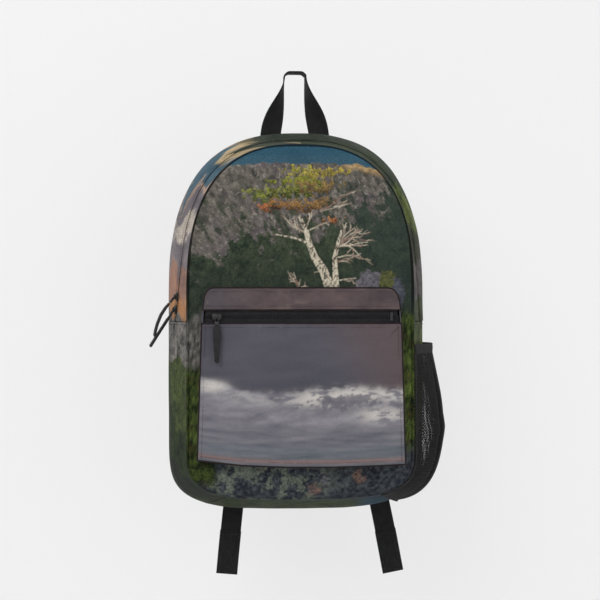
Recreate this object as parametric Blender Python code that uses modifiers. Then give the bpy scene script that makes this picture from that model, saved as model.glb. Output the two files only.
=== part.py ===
"""A printed day pack, hung up by its carry handle, as an assembly of cut panels, zips and webbing.

Frame: metres, +Z up, the front pocket faces -Y. The origin is the hang point, under the crown of the
carry handle. Everything is modelled in bag coordinates, with z measured up from the underside of the bag
and y from the middle of its depth, and is parented to one empty that carries it to the hang point.
"""

import math

import bpy
import numpy as np
from mathutils import Matrix, Vector

# ---------------------------------------------------------------- driving dimensions
BAG_HEIGHT = 0.450
BAG_HALF_WIDTH = 0.152
RIM_Y = -0.056                # the front seam
ZIP_Y = -0.028                # the main zip, over the arch
ZIP_END_Y = -0.012            # the main zip, at its two lower ends
RIDGE_Y = 0.012               # the widest ring of the gusset
BACK_Y = 0.058                # the rear seam
FRONT_INSET = 0.022           # how much smaller than the ridge the front panel is, all round
ZIP_INSET = 0.013
BACK_INSET = 0.008
ARCH_START = 0.250            # height where the straight sides turn into the arch
ARCH_POWER = 2.6
CORNER_HEIGHT = 0.082         # height where the bottom corners turn into the sides
CORNER_POWER = 3.6
FRONT_BULGE = 0.012
CLOTH = 0.0012                # printed polyester with its lining
GAP = 0.0004                  # clearance between sewn neighbours
PIPING_RADIUS = 0.0018
SEAM_INSET = PIPING_RADIUS + GAP

ZIP_LOW = 0.225               # height of the main zip's two lower ends
ZIP_RUN_TOP = 0.300           # the zip is straight from its lower end to here
FLAP_FOLD = 0.303             # height of the line where the opened front folds
ZIP_SLOT = 0.0019             # half the slot between the two sides of the zip cover
TAPE = 0.0008
TAPE_WIDTH = 0.0090
TAPE_DROP = CLOTH + 0.0010    # the tape is sewn under the cover cloth

SLIDER_LENGTH = 0.0110
SLIDER_WIDTH = 0.0078
PLATE = 0.0011
POST_WIDTH = 0.0026
LUG_WIDTH = 0.0020
LUG_LENGTH = 0.0056
LUG_HEIGHT = 0.0034
EYE_RADIUS = 0.0011
PIN_RADIUS = 0.0006
EAR = 0.0010
TAB_LENGTH = 0.0105
TAB_OVER = 0.0012             # how far the tab's ears reach past its pin
MAIN_PULL_WIDTH = 0.0064
POCKET_PULL_WIDTH = 0.0090
PULL_THICKNESS = 0.0018
UPPER_SLIDER_Z = 0.254        # heights of the two main sliders, parked at the left end
LOWER_SLIDER_Z = 0.239

POCKET_TOP = 0.264
POCKET_BOTTOM = 0.060
POCKET_ZIP_Z = 0.231
POCKET_ZIP_Y = -0.0765
POCKET_ZIP_SLOT = 0.0070      # half the exposed height of the pocket zip
POCKET_HALF_TOP = 0.110
POCKET_HALF_ZIP = 0.114
POCKET_HALF_BOTTOM = 0.119
POCKET_BOTTOM_Y = -0.086
POCKET_SIDE_Y = -0.0735
POCKET_SLIDER_X = -0.097
POCKET_STOP_X = 0.094
POCKET_TAPE_DROP = CLOTH + 3 * GAP

BACK_PAD = 0.010
LINING = 0.0006
SLEEVE_PAD = 0.005
SLEEVE_Y = 0.030
SLEEVE_TOP = 0.300
SLEEVE_CLEARANCE = 0.0015
BOARD = 0.0025
BOARD_WIDTH = 0.170
BOARD_FRONT = -0.020
BOARD_BACK = 0.044
ANCHOR = 0.0015

WEBBING = 0.025
WEBBING_THICKNESS = 0.0014
HANDLE_RISE = 0.078           # from the top of the bag to the underside of the crown
HANDLE_Y = 0.052
HANDLE_BASE_HALF = 0.030
HANDLE_CROWN_HALF = 0.008
HANDLE_SHOULDER_HALF = 0.013
HANDLE_SHOULDER_DROP = 0.004
HANDLE_GAP = 0.0008           # the roots' clearance over the seam that they turn on

STRAP_PAD = 0.009
STRAP_WIDTH_TOP = 0.062
STRAP_WIDTH_END = 0.048
STRAP_TOP = BAG_HEIGHT - 0.026
STRAP_END = 0.128
STRAP_BOW = 0.018             # how far a strap curves outwards
LOCK_Z = 0.090
LOCK_WIDTH = 0.034
LOCK_HEIGHT = 0.028
LOCK_THICKNESS = 0.0046
LOCK_BAR = 0.0040
TAIL_DROP = 0.090             # how far the webbing tails hang below the bag
TAIL_HEM = 0.051

BOTTLE_TOP = 0.187
BOTTLE_BULGE = 0.026
BOTTLE_MOUTH = 0.0095
BOTTLE_CLEARANCE = 0.0014
MESH = 0.0010
BAND_HEIGHT = 0.011

HANG_HEIGHT = BAG_HEIGHT + HANDLE_RISE

COLOURS = {
    "front_print": (0.10, 0.13, 0.11, 0.62, 0.0),
    "side_print": (0.22, 0.17, 0.17, 0.62, 0.0),
    "pocket_print": (0.26, 0.24, 0.26, 0.60, 0.0),
    "webbing": (0.022, 0.021, 0.023, 0.75, 0.0),
    "padding": (0.030, 0.030, 0.032, 0.85, 0.0),
    "net": (0.035, 0.034, 0.036, 0.70, 0.0),
    "zip_tape": (0.028, 0.028, 0.030, 0.70, 0.0),
    "slider": (0.045, 0.044, 0.046, 0.35, 1.0),
    "buckle": (0.020, 0.020, 0.021, 0.40, 0.0),
    "lining": (0.060, 0.062, 0.066, 0.80, 0.0),
    "board": (0.50, 0.50, 0.50, 0.60, 0.0),
    "piping": (0.018, 0.018, 0.019, 0.60, 0.0),
}


# ---------------------------------------------------------------- scene and helpers
for old in list(bpy.data.objects):
    bpy.data.objects.remove(old, do_unlink=True)


def new_collection(name):
    collection = bpy.data.collections.new(name)
    bpy.context.scene.collection.children.link(collection)
    return collection


PARTS = new_collection("day_pack")
CUTTERS = new_collection("cutters")
FRAME = bpy.data.objects.new("hang_point_frame", None)
PARTS.objects.link(FRAME)
FRAME.location = (0.0, -HANDLE_Y, -HANG_HEIGHT)


def material(slot):
    if slot in bpy.data.materials:
        return bpy.data.materials[slot]
    red, green, blue, roughness, metallic = COLOURS[slot]
    made = bpy.data.materials.new(slot)
    made.use_nodes = True
    shader = made.node_tree.nodes["Principled BSDF"]
    shader.inputs["Base Color"].default_value = (red, green, blue, 1.0)
    shader.inputs["Roughness"].default_value = roughness
    shader.inputs["Metallic"].default_value = metallic
    return made


def add(name, data, slot, collection=PARTS):
    made = bpy.data.objects.new(name, data)
    collection.objects.link(made)
    data.materials.append(material(slot))
    made.parent = FRAME
    return made


def mesh_from(name, points, faces):
    mesh = bpy.data.meshes.new(name)
    mesh.from_pydata([tuple(p) for p in points], [], faces)
    mesh.validate()
    return mesh


def loft(name, sections, slot, thickness=CLOTH):
    """An open surface through sections of equal length, given its wall by Solidify on the inner side."""
    count = len(sections[0])
    points = [p for section in sections for p in section]
    faces = []
    for i in range(len(sections) - 1):
        for j in range(count - 1):
            a = i * count + j
            faces.append((a, a + count, a + count + 1, a + 1))
    made = add(name, mesh_from(name, points, faces), slot)
    wall = made.modifiers.new("wall", "SOLIDIFY")
    wall.thickness = thickness
    wall.offset = -1.0
    wall.use_even_offset = True
    made.data.shade_smooth()
    return made


def ribbon(name, points, across, width, thickness, slot):
    """A flat strap: a rectangle swept along points, whose width lies along the direction across at each."""
    points = [Vector(p) for p in points]
    if isinstance(across[0], (int, float)):
        across = [across] * len(points)
    widths = width if isinstance(width, (list, tuple)) else [width] * len(points)
    thick = thickness if isinstance(thickness, (list, tuple)) else [thickness] * len(points)
    corners = []
    for i, point in enumerate(points):
        along = (points[min(i + 1, len(points) - 1)] - points[max(i - 1, 0)]).normalized()
        side = Vector(across[i])
        side = (side - along * side.dot(along)).normalized()
        out = along.cross(side)
        for u, v in ((-1, -1), (1, -1), (1, 1), (-1, 1)):
            corners.append(point + side * (u * widths[i] / 2) + out * (v * thick[i] / 2))
    faces = [(3, 2, 1, 0)]
    last = 4 * (len(points) - 1)
    for i in range(len(points) - 1):
        for k in range(4):
            a, b = 4 * i + k, 4 * i + (k + 1) % 4
            faces.append((a, b, b + 4, a + 4))
    faces.append((last, last + 1, last + 2, last + 3))
    return add(name, mesh_from(name, corners, faces), slot)


def tube(name, points, radius, slot, cyclic=False):
    curve = bpy.data.curves.new(name, "CURVE")
    curve.dimensions = "3D"
    spline = curve.splines.new("POLY")
    spline.points.add(len(points) - 1)
    for target, point in zip(spline.points, points):
        target.co = (*point, 1.0)
    spline.use_cyclic_u = cyclic
    curve.bevel_depth = radius
    curve.bevel_resolution = 1
    curve.use_fill_caps = not cyclic
    return add(name, curve, slot)


def prism(name, outlines, depth, slot, collection=PARTS):
    """Flat outlines, the later ones holes in the first, filled and given their depth."""
    curve = bpy.data.curves.new(name, "CURVE")
    curve.dimensions = "2D"
    curve.fill_mode = "BOTH"
    curve.extrude = depth / 2
    for outline in outlines:
        spline = curve.splines.new("POLY")
        spline.points.add(len(outline) - 1)
        for target, point in zip(spline.points, outline):
            target.co = (point[0], point[1], 0.0, 1.0)
        spline.use_cyclic_u = True
    return add(name, curve, slot, collection)


def block(name, size, centre, slot, collection=CUTTERS):
    bpy.ops.mesh.primitive_cube_add(size=1.0, location=(0, 0, 0))
    made = bpy.context.active_object
    made.name = name
    made.data.transform(Matrix.Translation(centre) @ Matrix.Diagonal((*size, 1.0)))
    return adopt(made, slot, collection)


def rod(name, radius, length, centre, slot, collection=CUTTERS):
    """A short cylinder whose length lies along X."""
    bpy.ops.mesh.primitive_cylinder_add(vertices=12, radius=radius, depth=length, location=(0, 0, 0))
    made = bpy.context.active_object
    made.name = name
    made.data.transform(Matrix.Translation(centre) @ Matrix.Rotation(math.pi / 2, 4, "Y"))
    return adopt(made, slot, collection)


def adopt(made, slot, collection):
    for home in list(made.users_collection):
        home.objects.unlink(made)
    collection.objects.link(made)
    made.data.materials.clear()
    made.data.materials.append(material(slot))
    made.parent = FRAME
    if collection is CUTTERS:
        made.hide_render = True
        made.display_type = "WIRE"
    return made


def combine(target, other, operation):
    step = target.modifiers.new(operation.lower(), "BOOLEAN")
    step.operation = operation
    step.object = other
    step.solver = "EXACT"


def stand(made, origin, across, along, outward):
    """Puts an object built with X across the zip, Y along it and Z out of the cloth."""
    rotation = Matrix((across, along, outward)).transposed().to_4x4()
    made.matrix_basis = Matrix.Translation(origin) @ rotation


# ---------------------------------------------------------------- the shape of the bag
RINGS = (
    (RIM_Y, FRONT_INSET),
    (ZIP_Y, ZIP_INSET),
    (RIDGE_Y, 0.0),
    (BACK_Y, BACK_INSET),
)
INSET_CURVE = np.polyfit([y for y, _ in RINGS], [inset for _, inset in RINGS], 3)


def inset_at(y):
    """How far inside the widest outline the gusset lies at this depth."""
    return float(np.polyval(INSET_CURVE, y))


def rounded(angle, width, height, power):
    """A point of a superellipse's quarter, by its polar angle."""
    c, s = math.cos(angle), math.sin(angle)
    radius = (abs(c / width) ** power + abs(s / height) ** power) ** (-1.0 / power)
    return radius * c, radius * s


def outline(q, inset=0.0):
    """(x, z) of the outline: q 0 is the bottom centre, 1 the end of a corner, 2 the arch's foot, 3 the top."""
    side = -1.0 if q < 0 else 1.0
    q = abs(q)
    half = BAG_HALF_WIDTH - inset
    if q < 1.0:
        x, drop = rounded((1.0 - q) * math.pi / 2, half, CORNER_HEIGHT - inset, CORNER_POWER)
        return side * x, CORNER_HEIGHT - drop
    if q < 2.0:
        return side * half, CORNER_HEIGHT + (q - 1.0) * (ARCH_START - CORNER_HEIGHT)
    x, rise = rounded((q - 2.0) * math.pi / 2, half, BAG_HEIGHT - inset - ARCH_START, ARCH_POWER)
    return side * x, ARCH_START + rise


def q_at_height(z, inset):
    """The q in the sides or the arch where the outline is at this height."""
    low, high = 1.0, 3.0
    for _ in range(40):
        middle = (low + high) / 2
        if outline(middle, inset)[1] < z:
            low = middle
        else:
            high = middle
    return (low + high) / 2


def gusset(q, y):
    x, z = outline(q, inset_at(y))
    return Vector((x, y, z))


def front_y(x, z):
    """The crowned front panel: how far forward it stands at x, z."""
    across = max(0.0, 1.0 - (x / (BAG_HALF_WIDTH - FRONT_INSET)) ** 2)
    up = max(0.0, 1.0 - ((z - BAG_HEIGHT / 2) / (BAG_HEIGHT / 2 - FRONT_INSET)) ** 4)
    return RIM_Y - FRONT_BULGE * across ** 0.8 * up ** 0.6


def half_width_at(z, inset):
    """Half the outline's width at a height."""
    half = BAG_HALF_WIDTH - inset
    if z < CORNER_HEIGHT:
        height, power = CORNER_HEIGHT - inset, CORNER_POWER
        share = (CORNER_HEIGHT - z) / height
    else:
        height, power = BAG_HEIGHT - inset - ARCH_START, ARCH_POWER
        share = max(0.0, z - ARCH_START) / height
    return half * max(0.0, 1.0 - min(1.0, share) ** power) ** (1.0 / power)


def zip_run(side):
    """The two ends of the straight lower run of the main zip, low then high."""
    low = gusset(side * q_at_height(ZIP_LOW, inset_at(ZIP_END_Y)), ZIP_END_Y)
    high = gusset(side * q_at_height(ZIP_RUN_TOP, inset_at(ZIP_Y)), ZIP_Y)
    return low, high


Q_RUN_TOP = q_at_height(ZIP_RUN_TOP, inset_at(ZIP_Y))
Q_ZIP_LOW = q_at_height(ZIP_LOW, inset_at(ZIP_END_Y))


def zip_point(q):
    """The middle of the main zip: straight below the run's top, on the gusset above it."""
    if abs(q) >= Q_RUN_TOP:
        return gusset(q, ZIP_Y)
    low, high = zip_run(-1.0 if q < 0 else 1.0)
    share = (abs(q) - Q_ZIP_LOW) / (Q_RUN_TOP - Q_ZIP_LOW)
    return low.lerp(high, share)


def shell_point(q, y):
    """The gusset's outer face between the seams, bent so that it passes through the zip."""
    base = gusset(q, y)
    if abs(q) <= Q_ZIP_LOW or abs(q) >= Q_RUN_TOP:
        return base
    middle = zip_point(q)
    pull = middle - gusset(q, middle.y)
    reach = abs(y - middle.y) / ((middle.y - RIM_Y) if y < middle.y else (BACK_Y - middle.y))
    return base + pull * max(0.0, 1.0 - reach) ** 2


def spread_q(start, end, count):
    return [start + (end - start) * i / (count - 1) for i in range(count)]


def strip_sections(qs, y_from, y_to, steps):
    """Sections across the gusset for each q; the y limits may be functions of q."""
    sections = []
    for q in qs:
        low = y_from(q) if callable(y_from) else y_from
        high = y_to(q) if callable(y_to) else y_to
        sections.append([shell_point(q, low + (high - low) * i / steps) for i in range(steps + 1)])
    return sections


def outward(q, y):
    """The gusset's outward normal."""
    along = shell_point(q + 0.01, y) - shell_point(q - 0.01, y)
    across = shell_point(q, y + 0.001) - shell_point(q, y - 0.001)
    return across.cross(along).normalized()


# ---------------------------------------------------------------- main compartment
Q_FLAP = q_at_height(FLAP_FOLD, FRONT_INSET)
Q_FLAP_ZIP = q_at_height(FLAP_FOLD, inset_at(ZIP_Y))
EDGE_Q = 0.003                # the small share of q that keeps two cut ends apart
RIM_EDGE = RIM_Y + SEAM_INSET
BACK_EDGE = BACK_Y - SEAM_INSET


def around_top(q_end, count):
    """q from the left end, over the top, to the right end."""
    left = spread_q(-q_end, -3.0, count)
    right = spread_q(3.0, q_end, count)
    return left + right[1:]


def cover_edge(q, side):
    """The y of the cover cloth's edge beside the zip, in front (-1) or behind (+1) it."""
    return zip_point(q).y + side * ZIP_SLOT


PANEL_INSET = FRONT_INSET + SEAM_INSET
UPPER_QS = spread_q(Q_FLAP + EDGE_Q, 3.0, 15)
LOWER_QS = spread_q(0.0, 1.0, 13) + spread_q(1.0, Q_FLAP - EDGE_Q, 7)[1:]


def front_panel(name, qs):
    """The part of the crowned front panel between the heights of its outline at these q."""
    sections = []
    for q in qs:
        half, z = outline(q, PANEL_INSET)
        row = [half * (2 * j / 12 - 1) for j in range(13)]
        sections.append([Vector((x, front_y(x, z), z)) for x in row])
    loft(name, sections, "front_print")


def front_panels():
    front_panel("front_flap_panel", UPPER_QS[-3::-1])
    front_panel("front_panel_lower", LOWER_QS[:4:-1])


BOTTOM_Q = 0.62               # where the side panels are sewn to the bottom panel


def gusset_panels():
    low_q = Q_ZIP_LOW
    loft(
        "zip_gusset_rear",
        strip_sections(around_top(low_q, 19), lambda q: cover_edge(q, 1), BACK_EDGE, 4),
        "side_print",
    )
    loft(
        "zip_gusset_front_arch",
        strip_sections(around_top(Q_FLAP + EDGE_Q, 16), RIM_EDGE, lambda q: cover_edge(q, -1), 2),
        "side_print",
    )
    for side, word in ((-1, "left"), (1, "right")):
        qs = spread_q(side * low_q, side * (Q_FLAP - EDGE_Q), 5)
        if side > 0:
            qs = qs[::-1]
        loft(
            f"zip_gusset_front_{word}",
            strip_sections(qs, RIM_EDGE, lambda q: cover_edge(q, -1), 2),
            "side_print",
        )
        qs = spread_q(BOTTOM_Q, 1.0, 8) + spread_q(1.0, low_q - 2 * EDGE_Q, 6)[1:]
        qs = [-q for q in qs] if side < 0 else qs[::-1]
        loft(f"side_panel_{word}", strip_sections(qs, RIM_EDGE, BACK_EDGE, 6), "side_print")
    qs = spread_q(BOTTOM_Q - 2 * EDGE_Q, 2 * EDGE_Q - BOTTOM_Q, 13)
    loft("bottom_panel", strip_sections(qs, RIM_EDGE, BACK_EDGE, 6), "side_print")


def zip_tapes():
    """The two woven tapes of the main zip, under the cover cloth."""
    def tape(name, qs, side):
        points, across = [], []
        for q in qs:
            middle = zip_point(q)
            normal = outward(q, middle.y)
            direction = (zip_point(q + 0.01) - zip_point(q - 0.01)).normalized()
            sideways = normal.cross(direction).normalized()
            if sideways.y < 0:
                sideways = -sideways
            offset = side * (POST_WIDTH / 2 + GAP + TAPE_WIDTH / 2)
            points.append(middle + sideways * offset - normal * (TAPE_DROP + TAPE / 2))
            across.append(sideways)
        ribbon(name, points, across, TAPE_WIDTH, TAPE, "zip_tape")

    tape("main_zip_tape_rear", around_top(Q_ZIP_LOW, 19), 1)
    tape("main_zip_tape_front_arch", around_top(Q_FLAP_ZIP + 2 * EDGE_Q, 16), -1)
    tape("main_zip_tape_front_left", spread_q(-Q_ZIP_LOW, -Q_FLAP_ZIP + 2 * EDGE_Q, 4), -1)
    tape("main_zip_tape_front_right", spread_q(Q_FLAP_ZIP - 2 * EDGE_Q, Q_ZIP_LOW, 4), -1)


def rim_point(q, y, inset):
    x, z = outline(q, inset)
    return (x, y, z)


RING_QS = spread_q(-3.0, 3.0, 73)[:-1]


def pipings():
    upper = [-q for q in UPPER_QS] + UPPER_QS[-2::-1]
    tube("piping_front_upper", [rim_point(q, RIM_Y, FRONT_INSET) for q in upper], PIPING_RADIUS, "piping")
    lower = [-q for q in LOWER_QS[:0:-1]] + LOWER_QS
    tube("piping_front_lower", [rim_point(q, RIM_Y, FRONT_INSET) for q in lower], PIPING_RADIUS, "piping")
    tube(
        "piping_rear", [rim_point(q, BACK_Y, BACK_INSET) for q in RING_QS], PIPING_RADIUS, "piping",
        cyclic=True,
    )


def flat_panel(name, inset, y_outer, thickness, slot, low=None, high=None):
    """A flat plate with the bag's outline, cut off at the heights low and high."""
    ring = [outline(q, inset) for q in RING_QS]
    if low is not None:
        ring = [(x, max(z, low)) for x, z in ring]
    if high is not None:
        ring = [(x, min(z, high)) for x, z in ring]
    kept = [ring[i] for i in range(len(ring)) if (Vector(ring[i]) - Vector(ring[i - 1])).length > 1e-5]
    plate = prism(name, [kept], thickness, slot)
    plate.rotation_euler = (math.pi / 2, 0, 0)
    plate.location = (0, y_outer - thickness / 2, 0)
    return plate


def floor_at(x, y):
    """The height of the bag's underside at x, y."""
    inset = inset_at(y)
    share = 1.0 - (x / (BAG_HALF_WIDTH - inset)) ** CORNER_POWER
    return CORNER_HEIGHT - (CORNER_HEIGHT - inset) * share ** (1.0 / CORNER_POWER)


def back_and_inside():
    flat_panel("back_panel", BACK_INSET + SEAM_INSET + GAP / 2, BACK_Y + PIPING_RADIUS, BACK_PAD, "padding")
    inner = BACK_Y + PIPING_RADIUS - BACK_PAD - GAP
    flat_panel("lining_back", BACK_INSET + 0.012, inner, LINING, "lining")
    corner = BOARD_WIDTH / 2
    board_low = max(floor_at(corner, BOARD_FRONT), floor_at(corner, BOARD_BACK)) + CLOTH + 2 * GAP
    block(
        "base_board", (BOARD_WIDTH, BOARD_BACK - BOARD_FRONT, BOARD),
        (0, (BOARD_BACK + BOARD_FRONT) / 2, board_low + BOARD / 2), "board", PARTS,
    )
    inset = inset_at(SLEEVE_Y) + CLOTH + SLEEVE_CLEARANCE
    flat_panel(
        "laptop_sleeve", inset, SLEEVE_Y + SLEEVE_PAD, SLEEVE_PAD, "padding",
        low=board_low + BOARD + GAP, high=SLEEVE_TOP,
    )
    half = half_width_at(SLEEVE_TOP, inset) - 0.004
    y, z = SLEEVE_Y + SLEEVE_PAD / 2, SLEEVE_TOP + GAP + 0.0015
    ribbon("sleeve_binding", [(-half, y, z), (half, y, z)], (0, 1, 0), SLEEVE_PAD + 0.002, 0.003, "webbing")


# ---------------------------------------------------------------- zip sliders and pulls
def slider(name, neck, crosswise):
    """A zip slider: two plates joined by a post, and a lug with an eye. Z 0 is the cloth's outer face."""
    top, bottom = GAP, -neck
    body = block(
        name, (SLIDER_WIDTH, SLIDER_LENGTH, PLATE), (0, 0, top + PLATE / 2), "slider", PARTS
    )
    lower = block(
        f"{name}_lower_plate", (SLIDER_WIDTH, SLIDER_LENGTH, PLATE), (0, 0, bottom - PLATE / 2), "slider"
    )
    post = block(
        f"{name}_post", (POST_WIDTH, SLIDER_LENGTH * 0.8, top - bottom + PLATE),
        (0, 0, (top + bottom) / 2), "slider",
    )
    lug_centre = (0, 0, top + PLATE + LUG_HEIGHT / 2 - 0.0002)
    lug = block(f"{name}_lug", (LUG_WIDTH, LUG_LENGTH, LUG_HEIGHT), lug_centre, "slider")
    eye = rod(f"{name}_eye", EYE_RADIUS, LUG_WIDTH * 3, (0, 0, EYE_HEIGHT), "slider")
    if crosswise:
        for piece in (lug, eye):
            piece.data.transform(Matrix.Rotation(math.pi / 2, 4, "Z"))
    combine(lug, eye, "DIFFERENCE")
    for piece in (post, lower, lug):
        combine(body, piece, "UNION")
    return body, lower, post, lug, eye


EYE_HEIGHT = GAP + PLATE + LUG_HEIGHT * 0.52


def pull_tab(name):
    """The tab that swings on the slider's lug: two ears on a pin, joined by a bar below the lug."""
    ear_x = LUG_WIDTH / 2 + 0.0003 + EAR / 2
    reach = TAB_LENGTH
    tab = block(name, (EAR, reach, 0.0014), (ear_x, -reach / 2 + TAB_OVER, 0), "slider", PARTS)
    other = block(f"{name}_ear", (EAR, reach, 0.0014), (-ear_x, -reach / 2 + TAB_OVER, 0), "slider")
    pin = rod(f"{name}_pin", PIN_RADIUS, 2 * ear_x, (0, 0, 0), "slider")
    bar = block(
        f"{name}_bar", (2 * ear_x + EAR, 0.0022, 0.0014), (0, -reach + 0.0023, 0), "slider"
    )
    for piece in (pin, other, bar):
        combine(tab, piece, "UNION")
    return tab, other, pin, bar


def zip_set(prefix, origin, along, out, hang, neck, width, path, crosswise=False):
    """A slider, its tab and its ribbon pull, which hangs along hang. A crosswise lug is a quarter turned."""
    along, out, hang = Vector(along).normalized(), Vector(out).normalized(), Vector(hang).normalized()
    across = along.cross(out).normalized()
    for piece in slider(f"{prefix}_slider", neck, crosswise):
        stand(piece, origin, across, along, out)
    pivot = Vector(origin) + out * EYE_HEIGHT
    side = along if crosswise else across
    tab_out = side.cross(-hang).normalized()
    for piece in pull_tab(f"{prefix}_pull_tab"):
        stand(piece, pivot, side, -hang, tab_out)
    start = pivot + hang * (TAB_LENGTH - TAB_OVER + GAP)
    points = [start + hang * down + tab_out * rise + side * shift for down, rise, shift in path]
    widths = [width * share for share in (0.72, 1.0, 1.0, 1.0, 1.06, 1.06)]
    ribbon(f"{prefix}_pull_ribbon", points, side, widths, PULL_THICKNESS, "webbing")


def main_sliders():
    low, high = zip_run(-1.0)
    along = (high - low).normalized()
    q = -q_at_height(UPPER_SLIDER_Z, inset_at(ZIP_Y))
    out = outward(q, zip_point(q).y)
    out = (out - along * out.dot(along)).normalized()
    neck = TAPE_DROP + TAPE + GAP
    for prefix, z, lean, path in (
        ("main_upper", UPPER_SLIDER_Z, 38.0,
         ((0.0008, 0, 0), (0.008, 0.0010, 0.0032), (0.018, 0.0004, 0.0056), (0.028, -0.0030, 0.0066),
          (0.036, -0.0070, 0.0070), (0.042, -0.0110, 0.0072))),
        ("main_lower", LOWER_SLIDER_Z, 27.0,
         ((0, 0, 0), (0.009, 0, -0.0008), (0.018, 0, -0.0016), (0.027, 0, -0.0022),
          (0.035, 0, -0.0026), (0.043, 0, -0.0028))),
    ):
        origin = low + along * ((z - low.z) / along.z)
        angle = math.radians(lean)
        hang = out * math.sin(angle) - along * math.cos(angle)
        zip_set(prefix, origin, along, out, hang, neck, MAIN_PULL_WIDTH, path)


# ---------------------------------------------------------------- front pocket
def pocket_half(z):
    if z > POCKET_ZIP_Z:
        share = (z - POCKET_ZIP_Z) / (POCKET_TOP - POCKET_ZIP_Z)
        return POCKET_HALF_ZIP + (POCKET_HALF_TOP - POCKET_HALF_ZIP) * share
    share = (POCKET_ZIP_Z - z) / (POCKET_ZIP_Z - POCKET_BOTTOM)
    return POCKET_HALF_ZIP + (POCKET_HALF_BOTTOM - POCKET_HALF_ZIP) * share


def pocket_face_y(x, z):
    """The pocket's outer face: straight at the zip, crowned and standing out further below it."""
    share = (POCKET_ZIP_Z - z) / (POCKET_ZIP_Z - POCKET_BOTTOM)
    middle = POCKET_ZIP_Y + (POCKET_BOTTOM_Y - POCKET_ZIP_Y) * math.sin(share * math.pi / 2)
    edge = POCKET_ZIP_Y + (POCKET_SIDE_Y - POCKET_ZIP_Y) * share
    across = max(0.0, 1.0 - (x / pocket_half(z)) ** 2)
    return edge + (middle - edge) * across ** 0.7


def front_pocket():
    columns = 12
    sections = []
    for i in range(9):
        z = POCKET_ZIP_Z - POCKET_ZIP_SLOT - (POCKET_ZIP_Z - POCKET_ZIP_SLOT - POCKET_BOTTOM) * i / 8
        half = pocket_half(z)
        row = [half * (2 * j / columns - 1) for j in range(columns + 1)]
        sections.append([Vector((x, pocket_face_y(x, z), z)) for x in row])
    loft("pocket_face", sections, "pocket_print")
    sections = []
    top_edge = POCKET_ZIP_Z + POCKET_ZIP_SLOT
    for i in range(5):
        share = i / 4
        z = POCKET_TOP + (top_edge - POCKET_TOP) * share
        half = pocket_half(z)
        row = [half * (2 * j / columns - 1) for j in range(columns + 1)]
        section = []
        for x in row:
            sewn = front_y(x, z) - CLOTH - GAP
            section.append(Vector((x, sewn + (POCKET_ZIP_Y - sewn) * math.sin(share * math.pi / 2), z)))
        sections.append(section)
    loft("pocket_top_band", sections, "pocket_print")
    for side, word in ((-1, "left"), (1, "right")):
        sections = []
        for i in range(9):
            z = POCKET_BOTTOM + 0.003 + (top_edge + 0.004 - POCKET_BOTTOM - 0.003) * i / 8
            x = side * (pocket_half(z) - CLOTH)
            face = (pocket_face_y(x, z) if z < POCKET_ZIP_Z else POCKET_ZIP_Y) + CLOTH + 2 * GAP
            sewn = front_y(x, z) - GAP
            if z > POCKET_ZIP_Z:
                share = (POCKET_TOP - z) / (POCKET_TOP - top_edge)
                face = min(sewn - 0.002, sewn + (POCKET_ZIP_Y - sewn) * math.sin(min(1, share) * math.pi / 2)
                           + CLOTH + 3 * GAP)
            row = [Vector((x, face + (sewn - face) * k / 2, z)) for k in range(3)]
            sections.append(row if side < 0 else row[::-1])
        loft(f"pocket_side_{word}", sections, "side_print")
    sections = []
    for j in range(columns + 1):
        x = (pocket_half(POCKET_BOTTOM) - 2 * CLOTH - GAP) * (2 * j / columns - 1)
        z = POCKET_BOTTOM + CLOTH
        face = pocket_face_y(x, POCKET_BOTTOM) + CLOTH + 2 * GAP
        sewn = front_y(x, z) - GAP
        sections.append([Vector((x, face + (sewn - face) * k / 2, z)) for k in range(3)][::-1])
    loft("pocket_base", sections, "side_print")
    for side, word in ((1, "upper"), (-1, "lower")):
        z = POCKET_ZIP_Z + side * (POST_WIDTH / 2 + GAP + TAPE_WIDTH / 2)
        y = POCKET_ZIP_Y + POCKET_TAPE_DROP + TAPE / 2
        reach = pocket_half(z + TAPE_WIDTH / 2) - 2 * CLOTH - 2 * GAP
        ribbon(
            f"pocket_zip_tape_{word}", [(-reach, y, z), (reach, y, z)], (0, 0, 1),
            TAPE_WIDTH, TAPE, "zip_tape",
        )
    stop_y = POCKET_ZIP_Y + POCKET_TAPE_DROP - GAP
    block(
        "pocket_zip_stop", (0.0030, 0.0016, 2 * POCKET_ZIP_SLOT - 0.004),
        (POCKET_STOP_X + SLIDER_LENGTH / 2 + 0.003, stop_y - 0.0008, POCKET_ZIP_Z), "slider", PARTS,
    )
    neck = POCKET_TAPE_DROP + TAPE + GAP
    zip_set(
        "pocket", (POCKET_SLIDER_X, POCKET_ZIP_Y, POCKET_ZIP_Z), (1, 0, 0), (0, -1, 0),
        (0.0, -0.10, -1.0), neck, POCKET_PULL_WIDTH,
        ((0, 0, 0), (0.008, 0.0006, 0), (0.016, 0.0008, 0), (0.024, 0.0006, 0), (0.032, 0.0002, 0),
         (0.039, 0, 0)),
        crosswise=True,
    )


# ---------------------------------------------------------------- bottle pocket
BOTTLE_LOW_Q = 0.66
BOTTLE_HIGH_Q = 1.0 + (BOTTLE_TOP - CORNER_HEIGHT) / (ARCH_START - CORNER_HEIGHT)


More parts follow.
